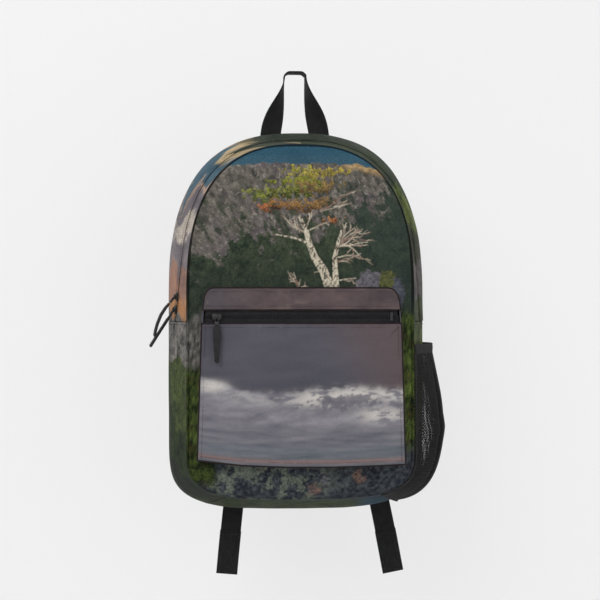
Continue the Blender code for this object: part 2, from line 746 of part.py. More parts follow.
def bottle_point(share, depth, lift=0.0):
    """The net's inner face at a share of its height and of the gusset's depth, standing out from the gusset."""
    q = BOTTLE_LOW_Q + (BOTTLE_HIGH_Q - BOTTLE_LOW_Q) * share
    y = RIM_EDGE + GAP + (BACK_EDGE - RIM_EDGE - 2 * GAP) * depth
    low, high = outline(q - 0.01, inset_at(y)), outline(q + 0.01, inset_at(y))
    normal = Vector((high[1] - low[1], 0.0, low[0] - high[0])).normalized()
    belly = math.sin(math.pi * share ** 0.72) * BOTTLE_BULGE
    mouth = BOTTLE_MOUTH * max(0.0, share - 0.55) / 0.45
    out = (belly + mouth) * math.sin(math.pi * depth) ** 0.55 if 0.0 < depth < 1.0 else 0.0
    return gusset(q, y) + normal * (BOTTLE_CLEARANCE + out + lift)


def bottle_pocket():
    columns, rows = 10, 12
    sections = []
    for i in range(rows + 1):
        share = 1.0 - i / rows
        sections.append([bottle_point(share, j / columns, MESH) for j in range(columns + 1)])
    loft("bottle_pocket_net", sections, "net", MESH)
    points = [bottle_point(1.0, j / columns, MESH / 2) for j in range(columns + 1)]
    for point in points:
        point.z = BOTTLE_TOP + GAP + BAND_HEIGHT / 2
    ribbon("bottle_pocket_band", points, (0, 0, 1), BAND_HEIGHT, 0.0018, "webbing")


# ---------------------------------------------------------------- carry handle and shoulder straps
def carry_handle():
    """A loop of webbing: flat against the rear seam at its roots, and a quarter turn later flat at its crown."""
    inset = inset_at(HANDLE_Y)
    seam_drop = (1.0 - ((HANDLE_BASE_HALF - WEBBING / 2) / (BAG_HALF_WIDTH - inset)) ** ARCH_POWER)
    root = ARCH_START + (BAG_HEIGHT - inset - ARCH_START) * seam_drop ** (1.0 / ARCH_POWER) + HANDLE_GAP
    crown = HANG_HEIGHT + WEBBING_THICKNESS / 2
    climb = 12
    points, across = [], []
    for i in range(climb + 1):
        share = i / climb
        ease = share * share * (3 - 2 * share)
        x = HANDLE_BASE_HALF + (HANDLE_SHOULDER_HALF - HANDLE_BASE_HALF) * ease
        angle = ease * math.pi / 2
        points.append((-x, HANDLE_Y, root + (crown - HANDLE_SHOULDER_DROP - root) * share))
        across.append((-math.cos(angle), -math.sin(angle), 0))
    points += [(-HANDLE_CROWN_HALF - 0.002, HANDLE_Y, crown - 0.0008), (-HANDLE_CROWN_HALF, HANDLE_Y, crown)]
    across += [(0, -1, 0)] * 2
    points += [(-x, y, z) for x, y, z in reversed(points)]
    across += [(-x, y, z) for x, y, z in reversed(across)]
    ribbon("carry_handle", points, across, WEBBING, WEBBING_THICKNESS, "webbing")


STRAP_LAYOUT = {
    # side: x at the top, x of the buckle, x of the tail's end
    "left": (-0.046, -0.064, -0.083),
    "right": (0.046, 0.089, 0.125),
}
STRAP_Y = BACK_Y + PIPING_RADIUS + ANCHOR + 2 * GAP


def strap_x(word, z):
    """The middle of a shoulder strap at a height: out over the shoulder blade, then in to its buckle."""
    top, lock, _ = STRAP_LAYOUT[word]
    share = min(1.0, (STRAP_TOP - z) / (STRAP_TOP - LOCK_Z))
    bow = math.copysign(STRAP_BOW, top) * math.sin(math.pi * share) ** 2
    return top + (lock - top) * share * share * (3 - 2 * share) + bow


FACING_Y = STRAP_Y + STRAP_PAD + GAP + WEBBING_THICKNESS / 2
FACING_TOP = STRAP_TOP - 0.004
FACING_END = LOCK_Z + LOCK_HEIGHT / 2 + 3 * GAP
WING_Y = BACK_Y + PIPING_RADIUS + GAP + ANCHOR / 2
WING_CORNER = (0.110, 0.042)  # where the lower webbing is sewn to its wing: x and z


def shoulder_pad(word):
    rows = 14
    sections = []
    for i in range(rows + 1):
        share = i / rows
        z = STRAP_TOP + (STRAP_END - STRAP_TOP) * share
        half = (STRAP_WIDTH_TOP + (STRAP_WIDTH_END - STRAP_WIDTH_TOP) * share) / 2
        if i == rows:
            half *= 0.72
        x = strap_x(word, z)
        sections.append([Vector((x + half * (1 - j), STRAP_Y + STRAP_PAD, z)) for j in range(3)])
    loft(f"shoulder_pad_{word}", sections, "padding", STRAP_PAD)


def lower_webbing(word, side):
    """From the wing at the bag's lower corner up to the buckle's underside."""
    sewn_y = WING_Y + ANCHOR / 2 + GAP + WEBBING_THICKNESS / 2
    lock_y = FACING_Y - LOCK_THICKNESS / 2 - GAP - WEBBING_THICKNESS / 2
    start = Vector((side * WING_CORNER[0], 0, WING_CORNER[1]))
    end = Vector((strap_x(word, LOCK_Z), 0, LOCK_Z - 0.004))
    points = []
    for share in (0.0, 0.18, 0.36, 0.54, 0.70, 0.84, 1.0):
        rise = min(1.0, max(0.0, (share - 0.18) / 0.66))
        point = start.lerp(end, share)
        point.y = sewn_y + (lock_y - sewn_y) * rise * rise * (3 - 2 * rise)
        points.append(point)
    run = (end - start).normalized()
    ribbon(
        f"lower_webbing_{word}", points, (run.z, 0.0, -run.x), WEBBING, WEBBING_THICKNESS, "webbing"
    )


def corner_wing(word, side):
    """The sewn tab that anchors the lower webbing in the side seam."""
    x, z = WING_CORNER
    corners = [(side * (x - 0.016), z - 0.016), (side * (x + 0.014), z - 0.006),
               (side * (x + 0.014), z + 0.022), (side * (x - 0.012), z + 0.012)]
    wing = prism(f"corner_wing_{word}", [corners], ANCHOR, "padding")
    wing.rotation_euler = (math.pi / 2, 0, 0)
    wing.location = (0, WING_Y, 0)


def webbing_tail(word):
    """The loose end of the lower webbing: it leaves the buckle's rear and hangs to a folded, sewn end."""
    top = Vector((strap_x(word, LOCK_Z), FACING_Y + LOCK_THICKNESS / 2 + GAP + WEBBING_THICKNESS / 2,
                  LOCK_Z - LOCK_HEIGHT / 2 + LOCK_BAR))
    end = Vector((STRAP_LAYOUT[word][2], top.y, -TAIL_DROP))
    hem = TAIL_HEM / (end - top).length
    shares = (0.0, 0.25, 0.5, 0.996 - hem, 1.0 - hem, 1.0)
    thickness = [WEBBING_THICKNESS * layers for layers in (1, 1, 1, 1, 2, 2)]
    ribbon(
        f"webbing_tail_{word}", [top.lerp(end, share) for share in shares], (1, 0, 0), WEBBING,
        thickness, "webbing",
    )


def shoulder_strap(word):
    side = -1 if word == "left" else 1
    shoulder_pad(word)
    stops = [FACING_TOP + (FACING_END - FACING_TOP) * i / 14 for i in range(15)]
    points = [(strap_x(word, z), FACING_Y, z) for z in stops]
    ribbon(f"strap_facing_{word}", points, (1, 0, 0), WEBBING, WEBBING_THICKNESS, "webbing")
    lock = ladder_lock(f"ladder_lock_{word}")
    lock.rotation_euler = (math.pi / 2, 0, 0)
    lock.location = (strap_x(word, LOCK_Z), FACING_Y, LOCK_Z)
    lower_webbing(word, side)
    corner_wing(word, side)
    webbing_tail(word)


def ladder_lock(name):
    """The strap adjuster: a frame with three bars and two slots."""
    w, h, bar = LOCK_WIDTH / 2, LOCK_HEIGHT / 2, LOCK_BAR
    side = (LOCK_WIDTH - WEBBING - 0.002) / 2
    inner = w - side
    frame = [(-w, -h), (w, -h), (w, h), (-w, h)]
    upper = [(-inner, bar * 0.5), (-inner, h - bar), (inner, h - bar), (inner, bar * 0.5)]
    lower = [(-inner, -h + bar), (-inner, -bar * 0.5), (inner, -bar * 0.5), (inner, -h + bar)]
    return prism(name, [frame, upper, lower], LOCK_THICKNESS, "buckle")


def strap_anchor():
    """The patch that the shoulder straps and the rear seam share."""
    half = [(0.082, BAG_HEIGHT - 0.058), (0.076, BAG_HEIGHT - 0.038), (0.052, BAG_HEIGHT - 0.022),
            (0.0, BAG_HEIGHT - 0.018)]
    corners = half + [(-x, z) for x, z in half[-2::-1]]
    patch = prism("strap_anchor_patch", [corners], ANCHOR, "webbing")
    patch.rotation_euler = (math.pi / 2, 0, 0)
    patch.location = (0, WING_Y, 0)


front_panels()
gusset_panels()
zip_tapes()
pipings()
back_and_inside()
main_sliders()
front_pocket()
bottle_pocket()
carry_handle()
for strap in STRAP_LAYOUT:
    shoulder_strap(strap)
strap_anchor()
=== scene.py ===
# %% [markdown]
# A printed day pack, hung up by its carry handle. The imported model is the fixed frame: every piece
# below is made in its space, and most ride on one of its bodies. The box is kept.

# %% Load the frame
import math

import bmesh
import bpy
import numpy as np
from mathutils import Matrix, Vector


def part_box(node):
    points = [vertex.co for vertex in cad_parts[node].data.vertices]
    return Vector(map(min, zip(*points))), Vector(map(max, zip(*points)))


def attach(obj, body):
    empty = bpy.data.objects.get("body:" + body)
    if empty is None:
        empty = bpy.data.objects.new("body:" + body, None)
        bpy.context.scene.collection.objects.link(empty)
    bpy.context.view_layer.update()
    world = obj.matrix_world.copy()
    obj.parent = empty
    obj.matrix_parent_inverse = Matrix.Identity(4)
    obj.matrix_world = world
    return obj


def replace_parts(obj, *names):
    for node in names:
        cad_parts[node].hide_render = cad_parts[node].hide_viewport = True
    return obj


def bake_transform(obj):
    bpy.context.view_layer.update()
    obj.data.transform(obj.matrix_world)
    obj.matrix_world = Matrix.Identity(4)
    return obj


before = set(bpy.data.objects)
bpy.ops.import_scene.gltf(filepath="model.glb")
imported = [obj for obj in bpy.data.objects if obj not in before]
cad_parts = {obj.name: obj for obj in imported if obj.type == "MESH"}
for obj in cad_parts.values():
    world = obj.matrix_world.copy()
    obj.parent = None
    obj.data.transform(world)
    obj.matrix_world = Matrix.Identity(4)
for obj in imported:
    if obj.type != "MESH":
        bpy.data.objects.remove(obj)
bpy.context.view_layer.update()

# %% [markdown]
# The pack hangs on a pale wall, a little turned. A long lens far away keeps its proportions. The wall
# is a plane that takes the shadow; seen from its back it lets the camera through, so the pack's rear
# can be looked at. A floor a good way below closes the room.

# %% Camera, wall, floor and lamps
scene = bpy.context.scene
scene.view_settings.view_transform = "Standard"
LENS = 85.0
VIEW_DISTANCE = 1.70
VIEW_TURN = math.radians(-4.0)
VIEW_TARGET = Vector((0.0037, -0.040, -0.278))
camera_data = bpy.data.cameras.new("view")
camera_data.lens = LENS
camera = bpy.data.objects.new("view", camera_data)
scene.collection.objects.link(camera)
camera.location = VIEW_TARGET + VIEW_DISTANCE * Vector((math.sin(VIEW_TURN), -math.cos(VIEW_TURN), 0))
camera.rotation_euler = (math.pi / 2, 0, VIEW_TURN)
scene.camera = camera


def new_material(name):
    """An empty material, with its tree, its output and a helper that adds a node."""
    made = bpy.data.materials.new(name)
    made.use_nodes = True
    made.node_tree.nodes.clear()
    output = made.node_tree.nodes.new("ShaderNodeOutputMaterial")

    def node(kind, settings=(), **sockets):
        added = made.node_tree.nodes.new("ShaderNode" + kind)
        for key, value in dict(settings).items():
            setattr(added, key, value)
        for key, value in sockets.items():
            numbered = key[0] == "i" and key[1:].isdigit()
            socket = added.inputs[int(key[1:]) if numbered else key.replace("_", " ")]
            if isinstance(value, bpy.types.NodeSocket):
                made.node_tree.links.new(value, socket)
            else:
                socket.default_value = value
        return added

    return made, node, output.inputs


def plane(name, corners, material):
    mesh = bpy.data.meshes.new(name)
    mesh.from_pydata(corners, [], [(0, 1, 2, 3)])
    mesh.materials.append(material)
    made = bpy.data.objects.new(name, mesh)
    scene.collection.objects.link(made)
    return made


WALL_Y = 0.17
FLOOR_Z = -1.15
ROOM = 4.0
WALL_COLOUR = (0.87, 0.87, 0.87, 1)
WALL_GLOW = (0.93, 0.93, 0.93, 1)
WALL_EVENNESS = 0.72            # the share of the wall's shade that no lamp changes
wall_paint, node, out = new_material("wall_paint")
paint = node("BsdfPrincipled", Base_Color=WALL_COLOUR, Roughness=0.9)
seen_from_behind = node(
    "Math", {"operation": "MULTIPLY"}, i0=node("LightPath").outputs["Is Camera Ray"],
    i1=node("NewGeometry").outputs["Backfacing"],
)
even_light = node("Math", {"operation": "MULTIPLY"}, i0=node("LightPath").outputs["Is Camera Ray"],
                  i1=WALL_EVENNESS)
evened = node("MixShader", i0=even_light.outputs[0], i1=paint.outputs[0],
              i2=node("Emission", Color=WALL_GLOW, Strength=1.0).outputs[0])
mix = node("MixShader", i0=seen_from_behind.outputs[0], i1=evened.outputs[0],
           i2=node("BsdfTransparent").outputs[0])
wall_paint.node_tree.links.new(mix.outputs[0], out["Surface"])
floor_paint, node, out = new_material("floor_paint")
paint = node("BsdfPrincipled", Base_Color=WALL_COLOUR, Roughness=0.8)
floor_paint.node_tree.links.new(paint.outputs[0], out["Surface"])
wall = plane("wall", [(-ROOM, WALL_Y, -ROOM), (ROOM, WALL_Y, -ROOM), (ROOM, WALL_Y, ROOM),
                      (-ROOM, WALL_Y, ROOM)], wall_paint)
floor = plane("floor", [(-ROOM, -ROOM, FLOOR_Z), (ROOM, -ROOM, FLOOR_Z), (ROOM, ROOM, FLOOR_Z),
                        (-ROOM, ROOM, FLOOR_Z)], floor_paint)


def lamp(name, place, aim, size, watts, tint=(1, 1, 1)):
    light = bpy.data.lights.new(name, "AREA")
    light.shape, light.size, light.energy, light.color = "SQUARE", size, watts, tint
    made = bpy.data.objects.new(name, light)
    scene.collection.objects.link(made)
    made.location = place
    made.rotation_euler = (Vector(aim) - Vector(place)).to_track_quat("-Z", "Y").to_euler()


MIDDLE = (0, -0.05, -0.30)
lamp("key", (-1.1, -1.9, 1.0), MIDDLE, 1.4, 27)
lamp("fill", (1.5, -2.0, 0.0), MIDDLE, 2.0, 13)
lamp("top", (-0.1, -0.9, 1.7), MIDDLE, 1.2, 5)
lamp("rear", (0.6, 1.6, 0.7), MIDDLE, 1.2, 34)
world = bpy.data.worlds.new("room")
scene.world = world
world.use_nodes = True
sky = world.node_tree.nodes["Background"]
sky.inputs["Color"].default_value = (1.0, 1.0, 1.0, 1)
ray = world.node_tree.nodes.new("ShaderNodeLightPath")
level = world.node_tree.nodes.new("ShaderNodeMapRange")
level.inputs["To Min"].default_value = 0.34       # what lights the pack
level.inputs["To Max"].default_value = 0.90       # what the camera and its reflections see
shown = world.node_tree.nodes.new("ShaderNodeMath")
shown.operation = "MAXIMUM"
world.node_tree.links.new(ray.outputs["Is Camera Ray"], shown.inputs[0])
world.node_tree.links.new(ray.outputs["Is Glossy Ray"], shown.inputs[1])
world.node_tree.links.new(shown.outputs[0], level.inputs["Value"])
world.node_tree.links.new(level.outputs[0], sky.inputs["Strength"])
print("camera", [round(v, 3) for v in camera.location])

# %% [markdown]
# The bag's shape is one rule: a rounded outline, a little smaller at the front and rear seams than at
# the ridge between them. The same rule shapes each panel, seam, zip and stitch line here, so they all
# meet. Heights are measured up from the underside of the bag and depths from its middle; the last
# step of each piece carries it to the hang point.

# %% The bag's outline
BAG_HEIGHT = 0.450
BAG_HALF_WIDTH = 0.152
RIM_Y, ZIP_Y, ZIP_END_Y, RIDGE_Y, BACK_Y = -0.056, -0.028, -0.012, 0.012, 0.058
FRONT_INSET, ZIP_INSET, BACK_INSET = 0.022, 0.013, 0.008
ARCH_START, ARCH_POWER = 0.250, 2.6
CORNER_HEIGHT, CORNER_POWER = 0.082, 3.6
FRONT_BULGE = 0.012
CLOTH = 0.0012
ZIP_LOW, ZIP_RUN_TOP, ZIP_SLOT = 0.225, 0.300, 0.0019
HANDLE_Y = 0.052
HANDLE_RISE = 0.078
TO_HANG_POINT = np.array((0.0, -HANDLE_Y, -BAG_HEIGHT - HANDLE_RISE))
INSET_CURVE = np.polyfit([RIM_Y, ZIP_Y, RIDGE_Y, BACK_Y], [FRONT_INSET, ZIP_INSET, 0, BACK_INSET], 3)


def inset_at(y):
    return np.polyval(INSET_CURVE, y)


def rounded(angle, width, height, power):
    c, s = np.cos(angle), np.sin(angle)
    radius = (np.abs(c / width) ** power + np.abs(s / height) ** power) ** (-1.0 / power)
    return radius * c, radius * s


def outline(q, inset=0.0):
    """x and z of the outline: q 0 is the bottom centre, 1 a corner's end, 2 the arch's foot, 3 the top."""
    q, inset = np.broadcast_arrays(np.asarray(q, float), np.asarray(inset, float))
    side, q = np.where(q < 0, -1.0, 1.0), np.abs(q)
    half = BAG_HALF_WIDTH - inset
    quarter = math.pi / 2
    low_x, drop = rounded(np.clip(1 - q, 0, 1) * quarter, half, CORNER_HEIGHT - inset, CORNER_POWER)
    top_x, rise = rounded(np.clip(q - 2, 0, 1) * quarter, half, BAG_HEIGHT - inset - ARCH_START, ARCH_POWER)
    x = np.where(q < 1, low_x, np.where(q < 2, half, top_x))
    run = CORNER_HEIGHT + (q - 1) * (ARCH_START - CORNER_HEIGHT)
    return side * x, np.where(q < 1, CORNER_HEIGHT - drop, np.where(q < 2, run, ARCH_START + rise))


def q_at_height(z, inset):
    low, high = np.full(np.shape(z), 0.0), np.full(np.shape(z), 3.0)
    for _ in range(40):
        middle = (low + high) / 2
        below = outline(middle, inset)[1] < z
        low, high = np.where(below, middle, low), np.where(below, high, middle)
    return (low + high) / 2


def gusset(q, y):
    x, z = outline(q, inset_at(y))
    return np.stack(np.broadcast_arrays(x, np.asarray(y, float), z), -1)


def front_y(x, z):
    """The crowned front panel."""
    across = np.clip(1 - (x / (BAG_HALF_WIDTH - FRONT_INSET)) ** 2, 0, None)
    up = np.clip(1 - ((z - BAG_HEIGHT / 2) / (BAG_HEIGHT / 2 - FRONT_INSET)) ** 4, 0, None)
    return RIM_Y - FRONT_BULGE * across ** 0.8 * up ** 0.6


Q_RUN_TOP = float(q_at_height(ZIP_RUN_TOP, inset_at(ZIP_Y)))
Q_ZIP_LOW = float(q_at_height(ZIP_LOW, inset_at(ZIP_END_Y)))
RUN_LOW = gusset(Q_ZIP_LOW, ZIP_END_Y)
RUN_HIGH = gusset(Q_RUN_TOP, ZIP_Y)


def zip_point(q):
    """The middle of the main zip: straight up to the top of its run, then over the arch."""
    q = np.asarray(q, float)
    share = ((np.abs(q) - Q_ZIP_LOW) / (Q_RUN_TOP - Q_ZIP_LOW))[..., None]
    side = np.where(q < 0, -1.0, 1.0)[..., None] * (1, 0, 0) + np.array((0, 1, 1))
    run = (RUN_LOW + (RUN_HIGH - RUN_LOW) * share) * side
    return np.where(np.abs(q)[..., None] >= Q_RUN_TOP, gusset(q, ZIP_Y), run)


def shell_point(q, y):
    """The gusset's outer face, bent so that it passes through the zip."""
    q, y = np.broadcast_arrays(np.asarray(q, float), np.asarray(y, float))
    base, middle = gusset(q, y), zip_point(q)
    pull = middle - gusset(q, middle[..., 1])
    ahead = y < middle[..., 1]
    reach = np.abs(y - middle[..., 1]) / np.where(ahead, middle[..., 1] - RIM_Y, BACK_Y - middle[..., 1])
    bent = base + pull * (np.clip(1 - reach, 0, None) ** 2)[..., None]
    return np.where(((np.abs(q) <= Q_ZIP_LOW) | (np.abs(q) >= Q_RUN_TOP))[..., None], base, bent)


def outward(q, y):
    q, y = np.broadcast_arrays(np.asarray(q, float), np.asarray(y, float))
    along = shell_point(q + 0.01, y) - shell_point(q - 0.01, y)
    across = shell_point(q, y + 0.001) - shell_point(q, y - 0.001)
    normal = np.cross(across, along)
    return normal / np.linalg.norm(normal, axis=-1, keepdims=True)


print("the main zip's run is", round(1000 * float(np.linalg.norm(RUN_HIGH - RUN_LOW)), 1), "mm long")

# %% [markdown]
# Cloth panels are grids of points that follow the shape. The grid carries a colour at each point for
# the print and a map in metres for the weave, so threads keep their size on a bent panel. Solidify
# gives a panel its wall, with the lining's material on the inner face where it has one.

# %% Grids, walls and seams
BODY_MIDDLE = np.array((0.0, 0.0, BAG_HEIGHT / 2))


def grid_faces(rows, columns):
    first = (np.arange(rows - 1)[:, None] * columns + np.arange(columns - 1)[None, :]).ravel()
    return np.stack([first, first + 1, first + columns + 1, first + columns], 1)


def piece(name, points, faces, materials, weave=None, colour=None, smooth=True):
    """A mesh object from points in the bag's space, carried to the hang point."""
    mesh = bpy.data.meshes.new(name)
    mesh.from_pydata((np.asarray(points, float).reshape(-1, 3) + TO_HANG_POINT).tolist(), [],
                     [list(map(int, face)) for face in faces])
    for material in materials:
        mesh.materials.append(material)
    corner = np.zeros(len(mesh.loops), np.int32)
    mesh.loops.foreach_get("vertex_index", corner)
    if weave is not None:
        layer = mesh.uv_layers.new(name="weave")
        layer.data.foreach_set("uv", np.asarray(weave, np.float32).reshape(-1, 2)[corner].ravel())
    if colour is not None:
        layer = mesh.color_attributes.new("print", "FLOAT_COLOR", "POINT")
        rgba = np.ones((len(mesh.vertices), 4), np.float32)
        rgba[:, :3] = np.asarray(colour, np.float32).reshape(-1, 3)
        layer.data.foreach_set("color", rgba.ravel())
    if smooth:
        mesh.shade_smooth()
    made = bpy.data.objects.new(name, mesh)
    scene.collection.objects.link(made)
    return made


def arc_map(points):
    """A map in metres for a grid of points: the run along its rows and along its columns."""
    across = np.linalg.norm(np.diff(points, axis=1), axis=2).mean(0)
    along = np.linalg.norm(np.diff(points, axis=0), axis=2).mean(1)
    u = np.concatenate([[0], np.cumsum(across)])
    v = np.concatenate([[0], np.cumsum(along)])
    return np.stack(np.meshgrid(u, v), -1)


def panel(name, points, materials, colour=None, wall=CLOTH, middle=BODY_MIDDLE):
    """A sewn panel from a grid of points, its face away from the middle of the bag."""
    rows, columns = points.shape[:2]
    faces = grid_faces(rows, columns)
    a, b, d = (points.reshape(-1, 3)[faces[:, k]] for k in (0, 1, 3))
    normal = np.cross(b - a, d - a)
    if (normal * (a - middle)).sum() < 0:
        faces = faces[:, ::-1]
    made = piece(name, points, faces, materials, arc_map(points), colour)
    if wall:
        thicken(made, wall, 1 if len(materials) > 1 else 0)
    return made


def thicken(made, wall, inner_slot=0):
    step = made.modifiers.new("wall", "SOLIDIFY")
    step.thickness, step.offset, step.use_even_offset = wall, -1.0, False
    step.material_offset = inner_slot
    settle(made)


def settle(made):
    """Turns an object and its modifiers into a plain mesh."""
    bpy.context.view_layer.update()
    graph = bpy.context.evaluated_depsgraph_get()
    mesh = bpy.data.meshes.new_from_object(made.evaluated_get(graph), preserve_all_data_layers=True,
                                           depsgraph=graph)
    mesh.name = made.name
    made.modifiers.clear()
    made.data = mesh
    return made


def smooth_step(value, low, high):
    share = np.clip((value - low) / (high - low), 0, 1)
    return share * share * (3 - 2 * share)


def lattice(i, j, seed):
    """A repeatable random number from 0 to 1 at each point of a square lattice."""
    h = i.astype(np.int64) * 73856093 ^ j.astype(np.int64) * 19349663 ^ (seed * 83492791 + 12345)
    h = (h ^ (h >> 13)) * 1274126177 & 0x7FFFFFFF
    return ((h ^ (h >> 15)) & 0xFFFF) / 65535.0


def patches(u, v, size, seed, octaves=3):
    """Soft random patches of a size, from 0 to 1, with finer ones inside them."""
    u, v = np.broadcast_arrays(np.asarray(u, float) / size, np.asarray(v, float) / size)
    total, weight, amount = np.zeros(u.shape), 0.0, 1.0
    for octave in range(octaves):
        i, j = np.floor(u), np.floor(v)
        a, b = u - i, v - j
        a, b = a * a * (3 - 2 * a), b * b * (3 - 2 * b)
        corners = [lattice(i + di, j + dj, seed + 31 * octave) for dj in (0, 1) for di in (0, 1)]
        value = (corners[0] * (1 - a) + corners[1] * a) * (1 - b)
        value = value + (corners[2] * (1 - a) + corners[3] * a) * b
        total, weight = total + amount * value, weight + amount
        u, v, amount = u * 2 + 5.3, v * 2 + 9.1, amount * 0.6
    return np.clip((total / weight - 0.5) * 1.5 + 0.5, 0, 1)


trial = patches(*np.meshgrid(np.arange(50.0), np.arange(50.0)), 5.0, 1)
print("patches average", round(float(trial.mean()), 2))

# %% [markdown]
# The cloth is a polyester with a picture printed over it, so its finish has three layers: the picture
# from the colour at each point, a fine scatter of ink, and the plain weave, which shows only as a
# slight roughness and a small bump. The sheen of the yarn lifts the edges of each curve.

# %% Printed cloth
def threads(node, pitch, source="weave"):
    """A plain weave's height from two crossed sets of threads, in the piece's map or in space."""
    place = node("UVMap", {"uv_map": source}).outputs[0] if source else node("TexCoord").outputs["Object"]
    half = []
    for turn in ("X", "Y"):
        wave = node("TexWave", {"wave_type": "BANDS", "bands_direction": turn, "wave_profile": "SIN"},
                    Vector=place, Scale=0.314 / pitch, Distortion=0.0, Detail=0.0)
        half.append(wave.outputs["Fac"])
    return node("Math", {"operation": "MULTIPLY"}, i0=half[0], i1=half[1]).outputs[0]


def cloth_material(name, ink=0.30, thread=0.00055, roughness=0.62, scatter=0.0011, wrinkle=0.25):
    """The printed cloth. scatter is the size of the ink's mottle in metres."""
    made, node, out = new_material(name)
    picture = node("Attribute", {"attribute_name": "print"})
    place = node("TexCoord").outputs["Object"]
    fine = node("TexNoise", Vector=place, Scale=1.0 / scatter, Detail=2.0, Roughness=0.65)
    strength = node("MapRange", Value=fine.outputs["Fac"], From_Min=0.3, From_Max=0.7,
                    To_Min=1 - ink, To_Max=1 + ink)
    tinted = node("VectorMath", {"operation": "SCALE"}, i0=picture.outputs["Color"],
                  Scale=strength.outputs[0])
    weave = threads(node, thread)
    soft = node("TexNoise", Vector=place, Scale=55.0, Detail=3.0, Roughness=0.5)
    relief = node("Math", {"operation": "MULTIPLY_ADD"}, i0=weave, i1=0.12, i2=soft.outputs["Fac"])
    bump = node("Bump", Strength=wrinkle, Distance=0.0012, Height=relief.outputs[0])
    rough = node("MapRange", Value=soft.outputs["Fac"], To_Min=roughness - 0.05, To_Max=roughness + 0.08)
    shader = node("BsdfPrincipled", Base_Color=tinted.outputs[0], Roughness=rough.outputs[0],
                  Normal=bump.outputs[0], Sheen_Weight=0.02, Sheen_Roughness=0.4)
    shader.inputs["Specular IOR Level"].default_value = 0.10
    made.node_tree.links.new(shader.outputs[0], out["Surface"])
    return made


def fibre_material(name, colour, roughness=0.75, pitch=0.0008, bump_height=0.0003, spread=0.25,
                   sheen=0.04, source="weave", metallic=0.0):
    """A dark woven or knitted finish: colour that varies a little, and threads in the piece's map."""
    made, node, out = new_material(name)
    place = node("TexCoord").outputs["Object"]
    dust = node("TexNoise", Vector=place, Scale=130.0, Detail=4.0, Roughness=0.6)
    shade = node("MapRange", Value=dust.outputs["Fac"], From_Min=0.3, From_Max=0.7,
                 To_Min=1 - spread, To_Max=1 + spread)
    base = node("VectorMath", {"operation": "SCALE"}, i0=colour, Scale=shade.outputs[0])
    weave = threads(node, pitch, source)
    bump = node("Bump", Strength=0.6, Distance=bump_height, Height=weave)
    rough = node("MapRange", Value=weave, To_Min=roughness + 0.08, To_Max=roughness - 0.06)
    shader = node("BsdfPrincipled", Base_Color=base.outputs[0], Roughness=rough.outputs[0],
                  Normal=bump.outputs[0], Sheen_Weight=sheen, Sheen_Roughness=0.5, Metallic=metallic)
    shader.inputs["Specular IOR Level"].default_value = 0.14
    made.node_tree.links.new(shader.outputs[0], out["Surface"])
    return made


FRONT_CLOTH = cloth_material("front_cloth", ink=0.34, scatter=0.0012)
SIDE_CLOTH = cloth_material("side_cloth", ink=0.20, scatter=0.0016)
POCKET_CLOTH = cloth_material("pocket_cloth", ink=0.07, scatter=0.0016, roughness=0.58)
LINING_CLOTH = fibre_material("lining_cloth", (0.055, 0.057, 0.062), 0.72, 0.0006, 0.0002)
WEBBING_YARN = fibre_material("webbing_yarn", (0.013, 0.013, 0.014), 0.68, 0.0016, 0.0005)
print("cloth and yarn ready")

# %% [markdown]
# The picture on the cloth is a mountain scene: sky, a bare crest, a wooded slope, a small bent tree,
# and boulders. It is painted here point by point from soft random patches, and the tree is grown from
# a few strokes by a seeded rule. Sizes are in millimetres across the panel and up from the underside
# of the bag.

# %% Paint for a landscape
def lay(under, over, amount):
    """Paint laid over paint."""
    return under + (np.asarray(over, float) - under) * np.asarray(amount, float)[..., None]


def tone(dark, light, amount):
    return np.asarray(dark) + (np.asarray(light) - np.asarray(dark)) * amount[..., None]


def stroke(x, z, points, start_width, end_width):
    """1 along a bent stroke that tapers, 0 away from it."""
    cover = np.zeros(x.shape)
    count = len(points) - 1
    for k in range(count):
        (ax, az), (bx, bz) = points[k], points[k + 1]
        run = max((bx - ax) ** 2 + (bz - az) ** 2, 1e-6)
        share = np.clip(((x - ax) * (bx - ax) + (z - az) * (bz - az)) / run, 0, 1)
        gap = np.hypot(x - ax - share * (bx - ax), z - az - share * (bz - az))
        width = start_width + (end_width - start_width) * (k + share) / count
        cover = np.maximum(cover, 1 - smooth_step(gap, width * 0.5 - 0.2, width * 0.5 + 0.45))
    return cover


def blob(x, z, centre, size, seed, ragged=0.55):
    """1 inside a ragged round clump."""
    far = np.hypot((x - centre[0]) / size[0], (z - centre[1]) / size[1])
    return 1 - smooth_step(far + ragged * (patches(x, z, 5.0, seed, 3) - 0.5) * 2, 0.82, 1.02)


def leaves(x, z, size, seed):
    """Small bright flecks in clumps, as foliage has."""
    clumps = patches(x, z, size * 3.2, seed, 3)
    flecks = 1 - np.abs(patches(x * 1.2, z, size, seed + 1, 3) * 2 - 1) * 1.6
    return np.clip(clumps * 0.75 + np.clip(flecks, 0, 1) * 0.55 - 0.22, 0, 1)


